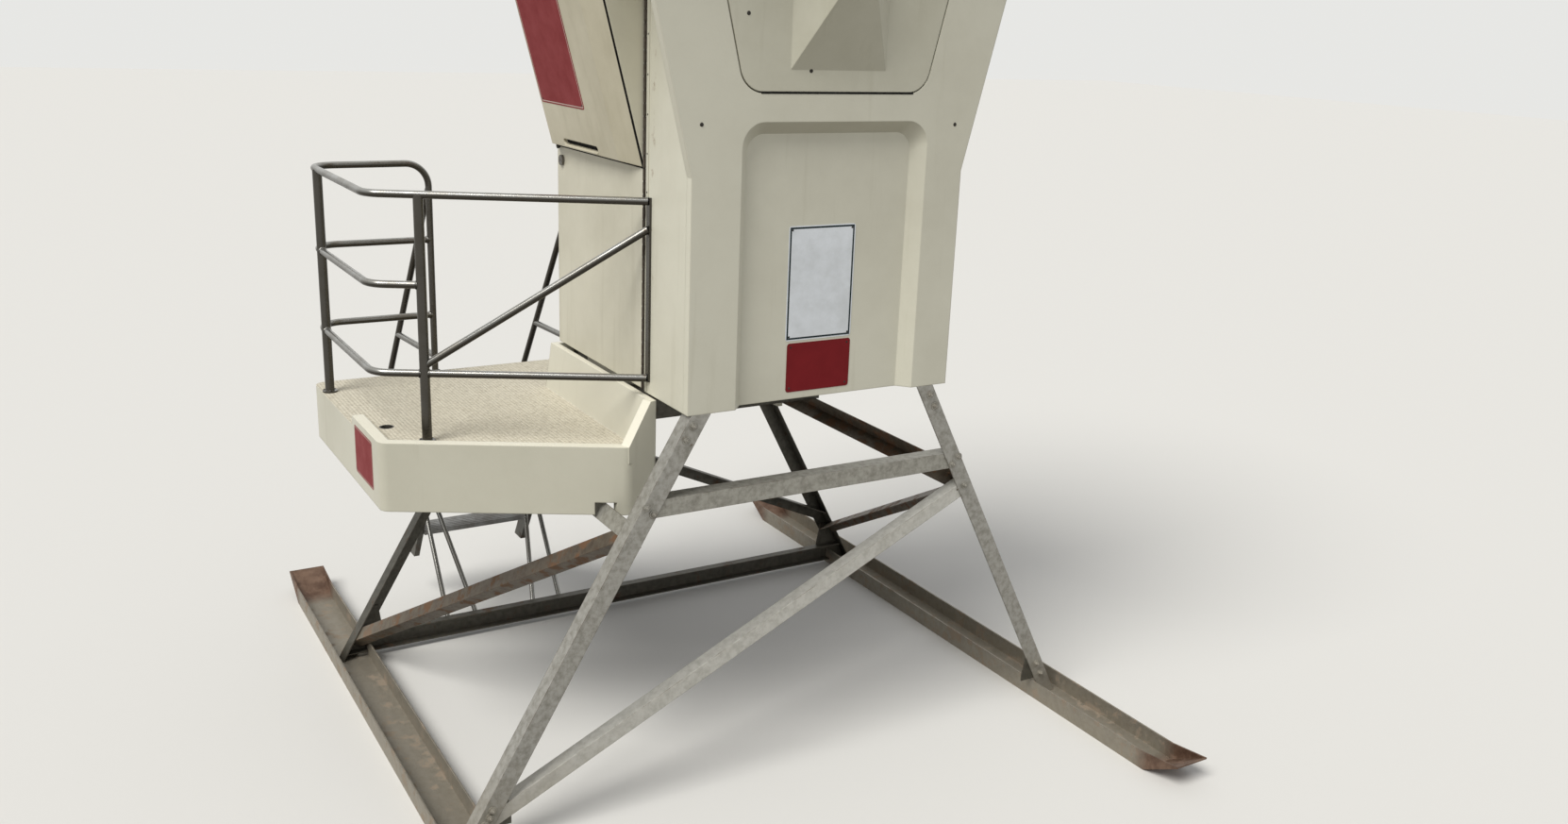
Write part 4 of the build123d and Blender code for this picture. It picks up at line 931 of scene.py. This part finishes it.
rail_joints.append((post_near, to_wall, 0.021, lower_rail))
rail_radius = 0.016
rail_bead = 0.0035
post_radius = 0.019
post_bead = 0.003
bolt_circle = 0.0275
beads = bmesh.new()
for post, run, gap, level in rail_joints:
    add_bead(beads, post + run * gap + Vector((0, 0, level)), run, rail_radius, rail_bead)
for post in posts:
    add_bead(beads, post + Vector((0, 0, deck_floor + 0.009)), (0, 0, 1), post_radius, post_bead)
rail_welds = made_piece("rail_welds", beads, rail_look)
for face in rail_welds.data.polygons:
    face.use_smooth = True
flange_bolts = bmesh.new()
for post in posts:
    for degrees in (30, 150, 270):
        angle = math.radians(degrees)
        around = Vector((math.cos(angle), math.sin(angle), 0)) * bolt_circle
        place = post + around + Vector((0, 0, deck_floor + 0.008))
        add_stud(flange_bolts, place, (0, 0, 1), 0.0045, 0.003, 6, 0.9)
made_piece("flange_bolts", flange_bolts, screw_look)

# The ladder hooks on the deck's far edge. It has flat stringers, dark as painted shade, level
# treads of weathered aluminium with raised ribs, a bent tube on each side and four thin props to
# the ground beam.
ladder_look, ladder_tree, ladder_shader = new_look("weathered aluminium")
ladder_shader.inputs["Metallic"].default_value = 0.55
oxide = placed(ladder_tree, BLOTCHES, Clean=(0.36, 0.36, 0.355), Stain=(0.22, 0.21, 0.195), Size=9.0)
ladder_rough = spread_value(ladder_tree, oxide.outputs["Mask"], 0.42, 0.62)
feed(ladder_tree, ladder_shader.inputs["Base Color"], oxide.outputs["Color"])
feed(ladder_tree, ladder_shader.inputs["Roughness"], ladder_rough)
roughened(ladder_tree, ladder_shader, 90.0, 0.0008, 6.0)
dress(("ladder_treads",), ladder_look)
dress(("ladder_stringer_left", "ladder_stringer_right"), painted_shade_zinc)
dress(("ladder_handrail_left", "ladder_handrail_right", "ladder_props", "ladder_braces"), rail_look)
treads_low, treads_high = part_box("ladder_treads")
rib_margin = 0.01
rib_length = treads_high.x - treads_low.x - 2 * rib_margin
rib_width = 0.006
rib_height = 0.002
rib_count = 6
tread_pitch = 0.275
tread_thick = 0.028
tread_half = 0.07
ladder_run = 0.875
ladder_rise = 1.432
ladder_top = sill - 0.318
tread_ribs = bmesh.new()
for k in range(4):
    tread_foot = deck_floor - tread_pitch * (k + 1)
    tread_middle = near_y + 1.9 + (ladder_top - tread_foot) / ladder_rise * ladder_run
    y_start = max(tread_middle - tread_half, far_y + 0.010)
    y_end = tread_middle + tread_half
    for rib in range(rib_count):
        y = y_start + (y_end - y_start) * (rib + 0.5) / rib_count
        rib_start = (treads_low.x + rib_margin, y - rib_width / 2, tread_foot + tread_thick)
        add_panel(tread_ribs, rib_start, (rib_length, 0, 0), (0, rib_width, 0), (0, 0, 1), rib_height)
made_piece("tread_grip", tread_ribs, ladder_look)
